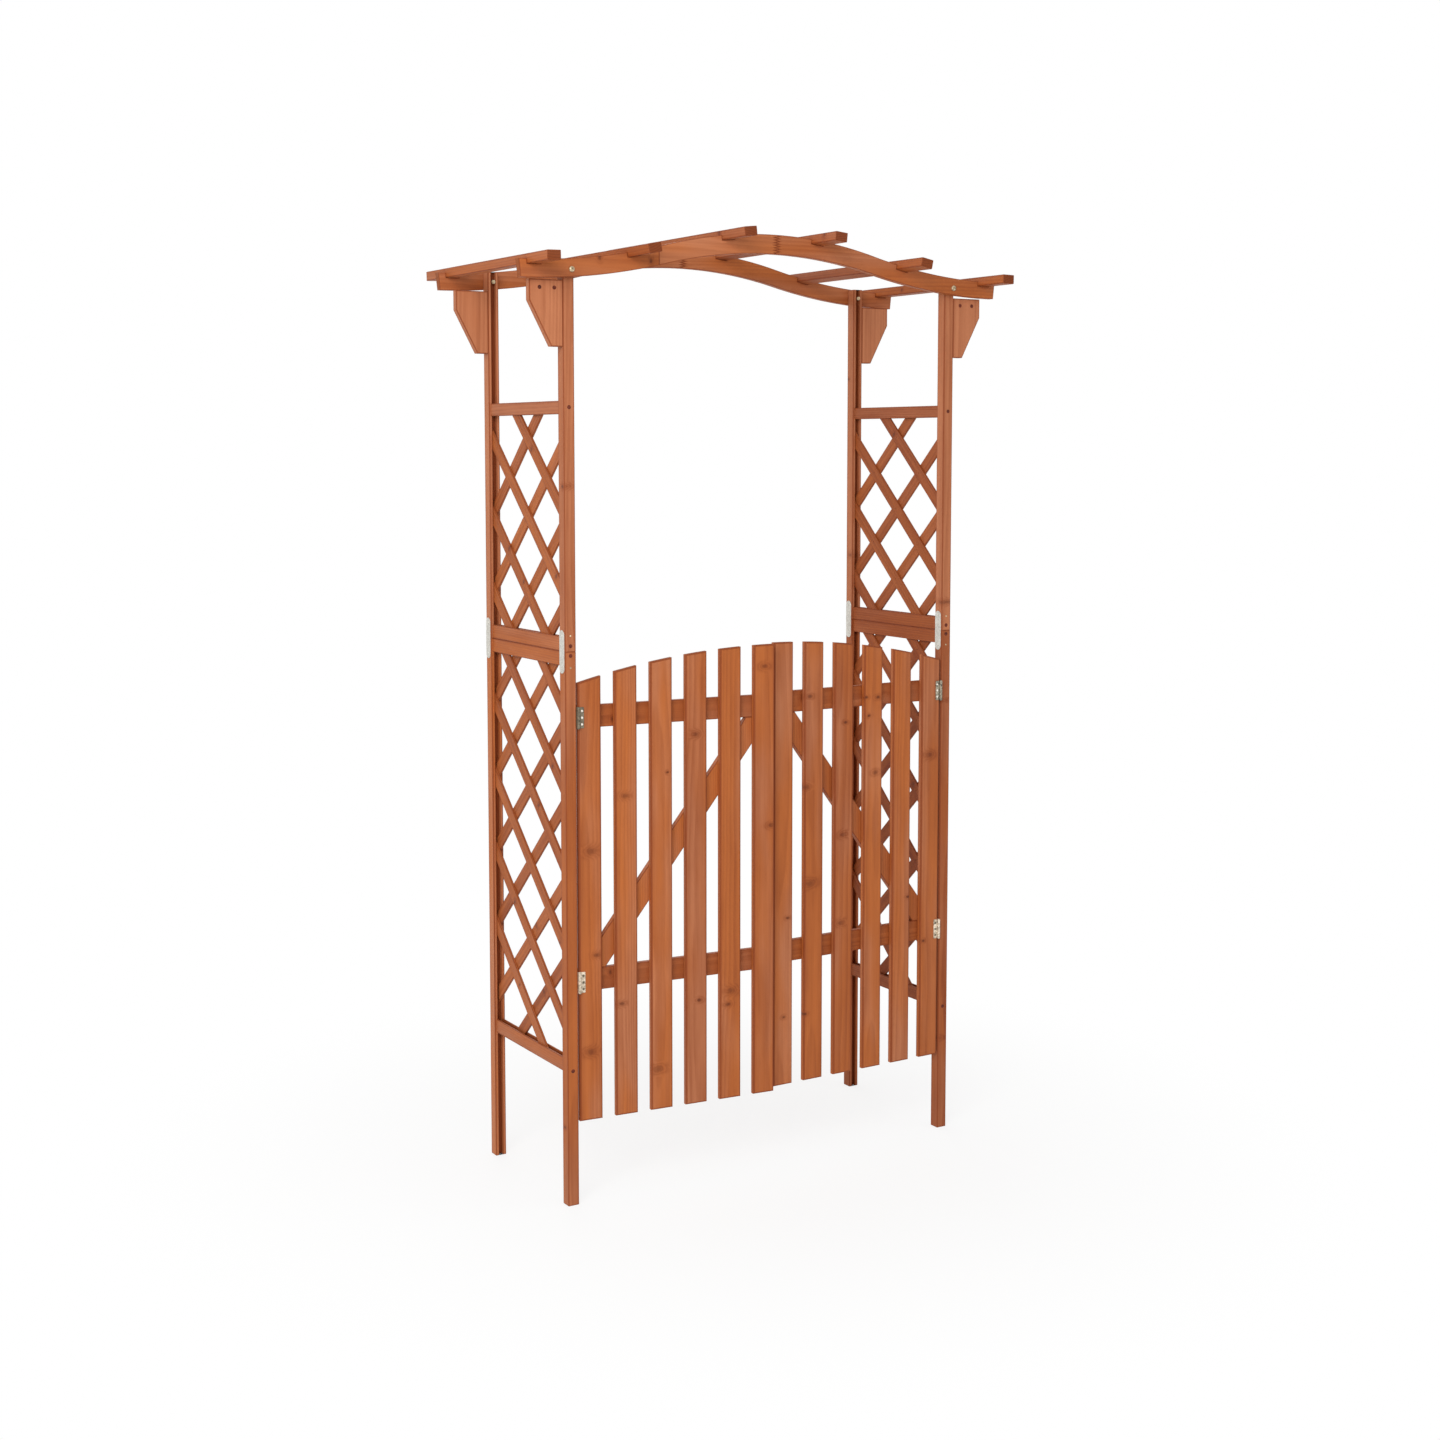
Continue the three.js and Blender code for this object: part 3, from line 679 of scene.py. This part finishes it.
print("steepest slope:", np.degrees(edge_at(TURN_X, *UPPER_EDGE)[1]).round(1), "degrees")

# %% Cut the notches
RAFTER_WIDTH, RAFTER_HEIGHT, RAFTER_COUNT, RAFTER_INSET = 0.030, 0.020, 6, 0.018
NOTCH_DEPTH, NOTCH_MARGIN, SEAT = 0.010, 0.004, 0.0003
CURVE_POINTS = 49
OUTER_RAFTER = BEAM_HALF - RAFTER_INSET - RAFTER_WIDTH / 2
RAFTER_X = np.linspace(-OUTER_RAFTER, OUTER_RAFTER, RAFTER_COUNT)


def notched_edge(start, end):
    """The upper edge from start to end, with four corners of a notch at each rafter: half a rafter
    along the slope to either side, and the notch's depth square to it."""
    centres = np.sort(np.abs(RAFTER_X))[::2]
    centres = centres[(centres > start) & (centres < end)]
    height, slope = edge_at(centres, *UPPER_EDGE)
    along = np.stack([np.cos(slope), -np.sin(slope)], axis=1)
    deep = np.stack([-np.sin(slope), -np.cos(slope)], axis=1) * (NOTCH_DEPTH + SEAT)
    centre = np.stack([centres, height], axis=1)
    beside = along * (RAFTER_WIDTH / 2 + SEAT)
    left, right = centre - beside, centre + beside
    notches = np.stack([left, left + deep, right + deep, right], axis=1)
    free = np.linspace(start, end, CURVE_POINTS)
    near = np.abs(free[:, None] - centres) < RAFTER_WIDTH / 2 + NOTCH_MARGIN
    free = free[~near.any(axis=1)]
    curve = np.stack([free, edge_at(free, *UPPER_EDGE)[0]], axis=1)
    order = np.argsort(np.r_[free, np.repeat(centres, 4)], kind="stable")
    return np.concatenate([curve, notches.reshape(-1, 2)])[order]


# %% Make the beams
FINGER_X, FINGER_LENGTH, FINGER_COUNT, SEAM_X = 0.009, 0.012, 7, 0.280


def beam_outline(side, start, end):
    """The lower edge outwards, the upper edge back and, at the middle of the beam, the zigzag of
    fingers down between them. Only the lower edge stops short of the beam's end, for its rake."""
    x = np.linspace(start, min(end, BEAM_HALF - END_RAKE), CURVE_POINTS)
    lower = np.stack([x, edge_at(x, *LOWER_EDGE)[0]], axis=1)
    upper = notched_edge(start, end)
    outline = np.concatenate([lower, upper[::-1]])
    if start < SEAM_X:
        share = np.linspace(0, 1, 2 * FINGER_COUNT + 2)[1:-1]
        zigzag = start + side * FINGER_LENGTH / 2 * np.tile([1, -1], FINGER_COUNT)
        level = upper[0, 1] + share * (lower[0, 1] - upper[0, 1])
        outline = np.concatenate([outline, np.stack([zigzag, level], axis=1)])
    return outline if side > 0 else mirrored(outline)


for corner, row, side in CORNERS:
    node = f"beam_{corner}"
    back_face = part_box(node)[1].y
    spans = {"": (side * FINGER_X, BEAM_HALF)}
    if node == "beam_front_left":
        spans = {"_inner": (side * FINGER_X, SEAM_X), "_outer": (SEAM_X, BEAM_HALF)}
    for span_word, (start, end) in spans.items():
        board(f"wood_{node}{span_word}", node, "frame", beam_outline(side, start, end),
              BEAM_THICKNESS, (0, back_face, 0), X, Z, grain="first", ease=0.0007)
print("beam pieces:", count_pieces("wood_beam"))

# %% [markdown]
# ## Rafters
# Six straight bars lie in the notches, square to the curve, so the outer four lean outwards.

# %% Make the rafters
RAFTER_LENGTH, RAFTER_RADIUS, RAFTER_DEEPER = 0.6, 0.0015, 0.2
UNIT_SQUARE = np.array([(0, 0), (1, 0), (1, 1), (0, 1)])
rafter_section, rafter_arris = rounded(
    (UNIT_SQUARE - 0.5) * (RAFTER_WIDTH, RAFTER_HEIGHT), RAFTER_RADIUS)
heights, slopes = edge_at(RAFTER_X, *UPPER_EDGE)
slopes = np.copysign(slopes, RAFTER_X)
for number, (x, z, slope) in enumerate(zip(RAFTER_X, heights, slopes), 1):
    across = np.array([math.cos(slope), 0, -math.sin(slope)])
    up = np.array([math.sin(slope), 0, math.cos(slope)])
    centre = np.array([x, RAFTER_LENGTH / 2, z]) + up * (RAFTER_HEIGHT / 2 - NOTCH_DEPTH)
    board(f"wood_rafter_{number}", f"rafter_{number}", "frame", rafter_section, RAFTER_LENGTH,
          centre, across, up, grain="depth", ease=0.001, arris=rafter_arris, knot_way=(0, 1),
          shade_and_tone=RAFTER_DEEPER)
print("rafters:", count_pieces("wood_rafter"))

# %% [markdown]
# ## Brackets
# A bracket stands on the outer side of each post, under the beam's end. It is square at the top
# and has one long sloping cut down to a narrow toe.

# %% Make the brackets
TOE, BRACKET_REACH, SHOULDER_Z, BRACKET_HEIGHT = 0.026, 0.075, 0.092, 0.134
BRACKET_X = POST_X + POST_SIDE / 2
bracket = np.array([(0, 0), (TOE, 0), (BRACKET_REACH, SHOULDER_Z),
                    (BRACKET_REACH, BRACKET_HEIGHT), (0, BRACKET_HEIGHT)])
for corner, row, side in CORNERS:
    node = f"bracket_{corner}"
    low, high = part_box(node)
    outline, tone = (bracket, 0.24) if side > 0 else (mirrored(bracket), 0.36)
    board(f"wood_{node}", node, "frame", outline, high.y - low.y,
          (side * BRACKET_X, high.y, low.z), X, Z, ease=0.0014, dark=tone, warm=FADED)
print("brackets:", count_pieces("wood_bracket"))

# %% [markdown]
# ## Gate leaves
# Each leaf has six slats with their tops cut to one long arch, and behind them two ledges with a
# brace between; the ledges are painted darker, as painted shade behind the slats. A leaf is drawn as
# it hangs when shut and then turned about its hinge line to the angle at which it stands: 4.6
# degrees open on the left, 1.5 on the right.

# %% The shapes of a leaf
HINGE_X, HINGE_Y = 0.4668, -0.196
LEAF_START, LEAF_WIDTH, LEAF_FRONT = 0.0018, 0.458, 0.0035
SLAT_COUNT, SLAT_WIDTH, SLAT_THICKNESS, SLAT_BOTTOM = 6, 0.050, 0.012, 0.178
ARCH_TOP, ARCH_RISE, ARCH_HALF = 1.166, 0.061, 0.465
ARCH_RADIUS = (ARCH_HALF ** 2 + ARCH_RISE ** 2) / (2 * ARCH_RISE)
LEDGES, LEDGE_HEIGHT, LEDGE_THICKNESS = {"upper": 1.056, "lower": 0.499}, 0.047, 0.014
# The ledges are darker: painted shade behind the slats.
LEDGE_INSET, LEDGE_SHADE, BRACE_SEAT = 0.004, 0.8, 0.059
LEAVES = {"left": (-1, 4.6), "right": (1, 1.5)}


def leaf_axes(leaf):
    """The hinge line's foot, the leaf's width from the hinge and its direction to the back."""
    side, degrees = LEAVES[leaf]
    angle = math.radians(degrees)
    width = np.array([-side * math.cos(angle), -math.sin(angle), 0])
    back = np.array([side * width[1], -side * width[0], 0])
    return np.array([side * HINGE_X, HINGE_Y, 0]), width, back


def slat_outline(start, end):
    """A rectangle with the arch's circle as its top: height = top - radius + root of
    (radius squared - distance from the middle of the gate squared)."""
    top_x = np.linspace(end, start, 5)
    top_z = ARCH_TOP - ARCH_RADIUS + np.sqrt(ARCH_RADIUS ** 2 - (HINGE_X - top_x) ** 2)
    return np.concatenate([[(start, SLAT_BOTTOM), (end, SLAT_BOTTOM)],
                           np.stack([top_x, top_z], axis=1)])


def on_leaf(name, node, leaf, outline, depth, front, **rest):
    """A board of a leaf. On the left leaf the width runs to +X, so the thickness, which is the
    cross product of width and height, runs to the front. On the right leaf it runs to the back."""
    foot, width, back = leaf_axes(leaf)
    start = front + depth if leaf == "left" else front
    board(name, node, f"gate_{leaf}", outline, depth, foot + back * start, width, Z, **rest)


print("radius of the arched top:", round(ARCH_RADIUS, 3), "m")

# %% [markdown]
# The knots that stand out on the slats are part of the gate's look, so their places are given:
# the slat from its hinge, then millimetres from its middle line towards the free side, the height
# above the ground and the radius. The first slat runs a millimetre closer to its post than its
# solid does, so that the dark gap beside the hinge lets no light through.

# %% Make the slats
SLAT_KNOTS = {
    "left": [(1, 2, 751, 7), (1, 14, 530, 4.5), (1, 0, 326, 6.5), (2, -3, 861, 5), (2, -12, 419, 4),
             (3, -9, 267, 6.5), (4, -2, 981, 5), (5, 1, 415, 6), (5, -6, 386, 4), (6, 0, 1120, 5),
             (6, 16, 771, 4.5), (3, 14, 905, 2.5), (4, 6, 404, 3.5)],
    "right": [(6, -12, 553, 3), (6, -2, 331, 3), (5, 20, 840, 5), (5, 9, 624, 7), (5, 22, 330, 3),
              (4, 2, 725, 5), (4, 6, 525, 5), (4, -4, 978, 3), (3, -12, 1028, 3.5),
              (3, 20, 1031, 3), (3, 13, 989, 3), (3, -7, 858, 4.5), (3, -1, 279, 4),
              (1, 2, 885, 6), (1, 16, 452, 3), (5, 12, 1042, 4), (2, -20, 560, 3)],
}
HINGE_EDGE, BACK_EASE, FRONT_EASE = 0.0010, 0.0010, 0.0026
starts = LEAF_START + np.linspace(0, LEAF_WIDTH - SLAT_WIDTH, SLAT_COUNT)
ends = starts + SLAT_WIDTH
starts[0] -= HINGE_EDGE


def add_slats(leaf):
    ease = (BACK_EASE, FRONT_EASE) if leaf == "left" else (FRONT_EASE, BACK_EASE)
    for number, (start, end) in enumerate(zip(starts, ends), 1):
        outline = slat_outline(start, end)
        middle = (outline[:, 1].min() + outline[:, 1].max()) / 2
        knots = [(a / 1000, b / 1000 - middle, radius / 1000)
                 for slat, a, b, radius in SLAT_KNOTS[leaf] if slat == number]
        on_leaf(f"wood_slat_{leaf}_{number}", f"slat_{leaf}_{number}", leaf, outline,
                SLAT_THICKNESS, LEAF_FRONT, ease=ease, knots=knots)


def add_gate_frame(leaf):
    """Two ledges, and a brace from the lower one at the hinge to the upper one's free end."""
    near, far = LEAF_START + LEDGE_INSET, LEAF_START + LEAF_WIDTH - LEDGE_INSET
    node, front = f"gate_frame_{leaf}", LEAF_FRONT + SLAT_THICKNESS + SEAT
    for level, top in LEDGES.items():
        base = top - LEDGE_HEIGHT
        outline = [(near, base), (far, base), (far, top), (near, top)]
        on_leaf(f"wood_ledge_{leaf}_{level}", node, leaf, outline, LEDGE_THICKNESS, front,
                grain="first", dark=LEDGE_SHADE)
    low, high = LEDGES["lower"], LEDGES["upper"] - LEDGE_HEIGHT
    outline = [(near, low), (near + BRACE_SEAT, low), (far, high), (far - BRACE_SEAT, high)]
    on_leaf(f"wood_brace_{leaf}", node, leaf, outline, LEDGE_THICKNESS, front, ease=0.001)


for leaf in LEAVES:
    add_slats(leaf)
    add_gate_frame(leaf)
print("leaf boards:", count_pieces("wood_slat", "wood_ledge", "wood_brace"))

# %% [markdown]
# ## Joint plates
# A flat steel bar with round ends covers the joint of each post, on its left face. Steel parts
# are prisms as the boards are, with sharper edges and without grain.

# %% Make the joint plates
PLATE_LENGTH, PLATE_WIDTH, PLATE_THICKNESS, STEEL_MARGIN = 0.090, 0.020, 0.002, 0.0002


def stadium(length, width, steps=10):
    """Two half circles, one half turn apart, joined by straight sides."""
    turn = np.linspace(0, math.pi, steps + 1)
    arc = np.stack([np.cos(turn), np.sin(turn)], axis=1) * width / 2 + (0, (length - width) / 2)
    return np.concatenate([arc, -arc])


def steel_bar(outline, depth, ease, origin, first, second):
    """Points and faces of a prism put in place: origin + a * first + b * second + d * normal."""
    local, _ = prism(outline, depth, ease, margin=STEEL_MARGIN)
    axes = np.array([first, second, np.cross(first, second)], float)
    return np.asarray(origin, float) + local.reshape(-1, 3) @ axes, prism_faces(*local.shape[:2])


def steel_piece(name, body, parts, material, smooth=False):
    """One mesh of several closed parts, each a pair of points and faces."""
    counts = np.cumsum([0, *[len(points) for points, _ in parts]])
    faces = [[corner + int(start) for corner in face]
             for (_, own), start in zip(parts, counts) for face in own]
    piece = add_mesh(name, np.concatenate([points for points, _ in parts]), faces, material)
    piece.data.polygons.foreach_set("use_smooth", np.full(len(piece.data.polygons), smooth))
    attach(piece, body)
    return piece


plate = stadium(PLATE_LENGTH, PLATE_WIDTH)
for corner, row, side in CORNERS:
    node = f"joint_plate_{corner}"
    place = (side * POST_X - POST_SIDE / 2, row * POST_Y, JOINT_Z)
    bar = steel_bar(plate, PLATE_THICKNESS, 0.0006, place, -Y, Z)
    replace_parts(steel_piece(f"steel_plate_{corner}", "frame", [bar], plate_steel), node)
print("joint plates:", count_pieces("steel_plate"))

# %% [markdown]
# ## Hinges
# A butt hinge is two plates that take turns round one pin. The odd knuckles belong to the plate on
# the post, with the pin's heads, and the even ones to the plate on the leaf. The hinges are drawn
# as small as they look in the picture: 44 mm high, and each plate 13 mm from the pin.

# %% Draw one half of a hinge
HINGE_HEIGHT, HINGE_REACH, HINGE_SHEET, SHEET_GAP = 0.044, 0.013, 0.0012, 0.0003
FREE_CORNER, PIN_CORNER = 0.0015, 0.0002
KNUCKLE, KNUCKLE_GAP, KNUCKLE_COUNT = 0.0032, 0.0004, 5
PIN_HEAD, PIN_HEAD_HEIGHT = 0.0023, 0.0012
knuckle_length = (HINGE_HEIGHT - (KNUCKLE_COUNT - 1) * KNUCKLE_GAP) / KNUCKLE_COUNT
knuckle_starts = -HINGE_HEIGHT / 2 + np.arange(KNUCKLE_COUNT) * (knuckle_length + KNUCKLE_GAP)


def disc(radius, steps=24):
    """A circle, counter-clockwise."""
    turn = np.arange(steps) * 2 * np.pi / steps
    return radius * np.stack([np.cos(turn), np.sin(turn)], axis=1)


def hinge_half(centre, reach, seat, own):
    """A plate that reaches from the pin in one direction and lies on the side of the pin that seat
    points to, with its own knuckles and, beside the first, the pin's heads. A bar's thickness grows
    along first x Z and has to grow back from the seat, so where reach x Z points to the seat, the
    bar is drawn along minus reach."""
    turned = np.cross(reach, Z) @ seat > 0
    first = -reach if turned else reach
    start = centre + seat * KNUCKLE
    near, tall = KNUCKLE + SHEET_GAP, HINGE_HEIGHT / 2

    def bar(outline, height):
        outline = mirrored(outline) if turned else outline
        return steel_bar(outline, HINGE_SHEET, 0.0002, start + height * Z, first, Z)

    sheet, _ = rounded([(near, -tall), (HINGE_REACH, -tall), (HINGE_REACH, tall), (near, tall)],
                       [PIN_CORNER, FREE_CORNER, FREE_CORNER, PIN_CORNER])
    tab = UNIT_SQUARE * (near + SHEET_GAP, knuckle_length)
    parts = [bar(sheet, 0)]
    for height in knuckle_starts[own]:
        knuckle = steel_bar(disc(KNUCKLE), knuckle_length, 0.0003, centre + height * Z, X, Y)
        parts += [bar(tab, height), knuckle]
    if own[0] == 0:
        parts += [steel_bar(disc(PIN_HEAD), PIN_HEAD_HEIGHT, 0.0004, centre + height * Z, X, Y)
                  for height in (tall, -tall - PIN_HEAD_HEIGHT)]
    return parts


# %% Make the hinges
HINGE_Z = {level: top - LEDGE_HEIGHT / 2 for level, top in LEDGES.items()}
# The dark plates of the upper hinges are painted dark reflections.
HINGE_STEEL = {("left", "upper"): dark_hinge_steel, ("right", "upper"): mottled_steel,
               ("left", "lower"): pale_steel, ("right", "lower"): pale_steel}
for leaf, (side, _) in LEAVES.items():
    foot, width, back = leaf_axes(leaf)
    for level, z in HINGE_Z.items():
        for word, body, reach, seat, own in (("leaf", f"gate_{leaf}", width, back, [1, 3]),
                                             ("post", "frame", Y, side * X, [0, 2, 4])):
            node = f"hinge_{word}_{leaf}_{level}"
            parts = hinge_half(foot + z * Z, reach, seat, own)
            piece = steel_piece(f"steel_{node}", body, parts, HINGE_STEEL[leaf, level])
            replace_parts(piece, node)
print("hinge halves:", count_pieces("steel_hinge"))

# %% [markdown]
# ## Screws, bolts and nuts
# A head is a surface of revolution: a profile of radius and height, turned about the direction it
# faces. Heads of one kind are worked out together, as one array of copies, and make one piece for
# each body. A sunk screw is a small cup, painted dark as the shade of its hole, and a bolt's head a
# dome with a recess.

# %% Heads of revolution
DOME = [(1.0, -0.2), (1.0, 0.3), (0.93, 0.6), (0.78, 0.85), (0.55, 0.98), (0.34, 1.0),
        (0.28, 0.9), (0.22, 0.4), (0.02, 0.35)]
CUP = [(1.0, -0.5), (1.0, 0.6), (0.86, 1.0), (0.72, 0.8), (0.55, 0.4), (0.30, 0.3), (0.02, 0.3)]
NUT = [(1.0, -0.1), (1.0, 0.85), (0.86, 1.0), (0.58, 1.0), (0.56, 1.5), (0.46, 1.62), (0.02, 1.62)]
ROUND_SIDES, HEX_SIDES = 14, 6


def heads(name, body, kind, places, facing):
    """Point = place + radius * r * (cos t, sin t) + height * h * facing, for each (r, h) of the
    kind's profile and each angle t. A head faces sideways, never up or down."""
    profile, radius, height, material, sides = kind
    share, level = np.array(profile).T
    side = np.cross(facing, Z)
    circle = disc(1, sides) @ np.array([side, np.cross(facing, side)])
    copy = share[:, None, None] * radius * circle + (level * height)[:, None, None] * facing
    places = np.asarray(places, float).reshape(-1, 3)
    points = (places[:, None, None, :] + copy).reshape(len(places), -1, 3)
    faces = prism_faces(len(share), sides)
    steel_piece(name, body, [(own, faces) for own in points], material, smooth=sides > HEX_SIDES)
    print(name, "has", len(places), "heads")


# %% [markdown]
# A bolt holds each beam end, dark screws hold the rails and the brackets, and four screws each
# joint plate. A kind has a profile, a radius, a height, a steel and a number of sides. A row of the
# table is a name, a kind, its x, y and heights at the back right, and 1 if it faces outwards.

# %% Fasten the frame
BOLT = (DOME, 0.0062, 0.0036, bolt_steel, 24)
HEX_NUT = (NUT, 0.0046, 0.0040, bolt_steel, HEX_SIDES)
# A sunk screw's dark steel is painted shade of its hole.
SUNK_SCREW = (CUP, 0.0042, 0.0004, sunk_steel, ROUND_SIDES)
JOINT_PIN = (DOME, 0.0019, 0.0006, bolt_steel, ROUND_SIDES)
PLATE_SCREW = (DOME, 0.0030, 0.0009, plate_steel, ROUND_SIDES)
PLATE_SCREW_Z = JOINT_Z + np.array([0.034, 0.014, -0.014, -0.034])
RAIL_SCREW_Z = (0.289, JOINT_Z - 0.008, JOINT_Z + 0.012, 1.6705)
JOINT_PIN_Z = (JOINT_Z - 0.033, JOINT_Z + 0.033)
BOLT_Z, BRACKET_SCREW_X, BRACKET_DROP = 1.947, (BRACKET_X + 0.019, BRACKET_X + 0.052), 0.016
half = POST_SIDE / 2
FRAME_HEADS = [
    ("bolts", BOLT, [POST_X], POST_Y + half + BEAM_THICKNESS, [BOLT_Z], 1),
    ("nuts", HEX_NUT, [POST_X], POST_Y - half, [BOLT_Z], -1),
    ("rail_screws", SUNK_SCREW, [POST_X], POST_Y + half, RAIL_SCREW_Z, 1),
    ("joint_pins", JOINT_PIN, [POST_X], POST_Y + half, JOINT_PIN_Z, 1),
]
heads("plate_screws", "frame", PLATE_SCREW,
      [(side * POST_X - half - PLATE_THICKNESS, row * POST_Y, z)
       for _, row, side in CORNERS for z in PLATE_SCREW_Z], -X)
for row_word, row in ROWS:
    low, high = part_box(f"bracket_{row_word}_left")
    in_bracket = BRACKET_SCREW_X, max(-low.y, high.y), [high.z - BRACKET_DROP]
    for word, kind, xs, y, zs, way in [*FRAME_HEADS, ("bracket_screws", SUNK_SCREW, *in_bracket, 1)]:
        places = [(side * x, row * y, z) for _, side in SIDES for x in xs for z in zs]
        heads(f"{word}_{row_word}", "frame", kind, places, way * row * Y)

# %% [markdown]
# A pin goes through each crossing of the lattice, with its head on the side towards the passage. A
# rising and a falling strip cross midway between the heights at which they pass the middle.

# %% Pin the lattice
STRIP_PIN, CROSSING_MARGIN = (DOME, 0.0011, 0.0004, sunk_steel, 10), 0.01
crossings = []
for bottom, top, first_crossing in PANELS.values():
    middles = strip_heights(bottom, top, first_crossing)
    rising, falling = np.meshgrid(middles, middles)
    y = (falling - rising).ravel() / (2 * math.tan(SLANT))
    z = (falling + rising).ravel() / 2
    inside = np.abs(y) < INNER_Y - CROSSING_MARGIN
    inside &= (z > bottom + CROSSING_MARGIN) & (z < top - CROSSING_MARGIN)
    crossings.append(np.stack([y[inside], z[inside]], axis=1))
crossings = np.concatenate(crossings)
for side_word, side in SIDES:
    x = side * (POST_X - STRIP_THICKNESS + LAYER_BITE / 2)
    heads(f"lattice_pins_{side_word}", "frame", STRIP_PIN, np.insert(crossings, 0, x, axis=1),
          -side * X)

# %% [markdown]
# Each hinge plate has three screws. Those of the moving plates face the viewer and turn with their
# leaf; those of the fixed plates face the leaf's edge.

# %% Fasten the hinges
SCREW_RADIUS, LEAF_SCREW_HEIGHT, POST_SCREW_HEIGHT = 0.0026, 0.0010, 0.0006
SCREW_REACH, SCREW_RISE = 0.0086, np.array([-0.014, 0, 0.014])[:, None] * Z
for leaf, (side, _) in LEAVES.items():
    foot, width, back = leaf_axes(leaf)
    for level, z in HINGE_Z.items():
        steel = bright_steel if level == "upper" else dark_hinge_steel
        places = foot + z * Z + SCREW_RISE
        kind = (DOME, SCREW_RADIUS, LEAF_SCREW_HEIGHT, steel, ROUND_SIDES)
        heads(f"leaf_screws_{leaf}_{level}", f"gate_{leaf}", kind,
              places + width * SCREW_REACH + back * (KNUCKLE - HINGE_SHEET), -back)
        kind = (DOME, SCREW_RADIUS, POST_SCREW_HEIGHT, steel, ROUND_SIDES)
        heads(f"post_screws_{leaf}_{level}", "frame", kind,
              places + (side * (KNUCKLE - HINGE_SHEET), SCREW_REACH, 0), -side * X)

# %% [markdown]
# ## Floor, world and light
# The object stands on a plain pale floor in front of a white surrounding. What the camera sees of
# the floor is mostly plain white, with some of the lit floor mixed in near the arch, so that its
# soft shadow stays. Large lamps give the even light of a product picture, stronger from the left.

# %% Make the floor
WHITE = (1, 1, 1, 1)
LIT_SHARE, LIT_NEAR, LIT_FAR, FLOOR_HALF = 0.22, 0.3, 1.5, 9


def seen_rays(shader):
    """1 for rays that come from the camera, a mirror or glass, 0 for the light itself."""
    kinds = [shader.node("ShaderNodeLightPath", output=f"Is {kind} Ray")
             for kind in ("Camera", "Glossy", "Transmission")]
    return kinds[0].maths("MAXIMUM", kinds[1]).maths("MAXIMUM", kinds[2])


def pale_floor():
    shader = Shader(bpy.data.materials.new("pale_floor"))
    x, y, _ = shader.split(shader.place())
    kept = LIT_SHARE * (1 - shader.ramp((x * x + y * y) ** 0.5, LIT_NEAR, LIT_FAR))
    lit = shader.principled({"Base Color": srgb(246, 246, 245), "Roughness": 0.9})
    white = shader.node("ShaderNodeEmission", sockets={"Color": WHITE, "Strength": 1.0})
    share = seen_rays(shader) * (1 - kept)
    return shader.finish(shader.node("ShaderNodeMixShader", sockets={0: share, 1: lit, 2: white}))


floor_corners = np.insert((UNIT_SQUARE * 2 - 1) * FLOOR_HALF, 2, 0, axis=1)
floor = add_mesh("floor", floor_corners, [[0, 1, 2, 3]], pale_floor())

# %% Light the scene
WORLD_LIGHT = 0.56
scene.world = bpy.data.worlds.new("studio")
shader = Shader(scene.world)
soft, plain = [shader.node("ShaderNodeBackground", sockets={"Strength": strength, "Color": WHITE})
               for strength in (WORLD_LIGHT, 1.0)]
blend = shader.node("ShaderNodeMixShader", sockets={0: seen_rays(shader), 1: soft, 2: plain})
shader.finish(blend, "ShaderNodeOutputWorld")


def lamp(name, place, target, size, power):
    data = bpy.data.lights.new(name, "AREA")
    data.size = size
    data.energy = power
    made = bpy.data.objects.new(name, data)
    made.location = place
    made.rotation_euler = (Vector(target) - Vector(place)).to_track_quat("-Z", "Y").to_euler()
    scene.collection.objects.link(made)


lamp("key", place=(-3.0, -2.8, 2.9), target=(-0.1, 0, 1.1), size=2.2, power=112)
lamp("fill", place=(3.2, -3.6, 2.6), target=(0, 0, 1.0), size=3.0, power=10)
lamp("back", place=(0.5, 4.0, 3.2), target=(0, 0, 1.2), size=3.0, power=45)
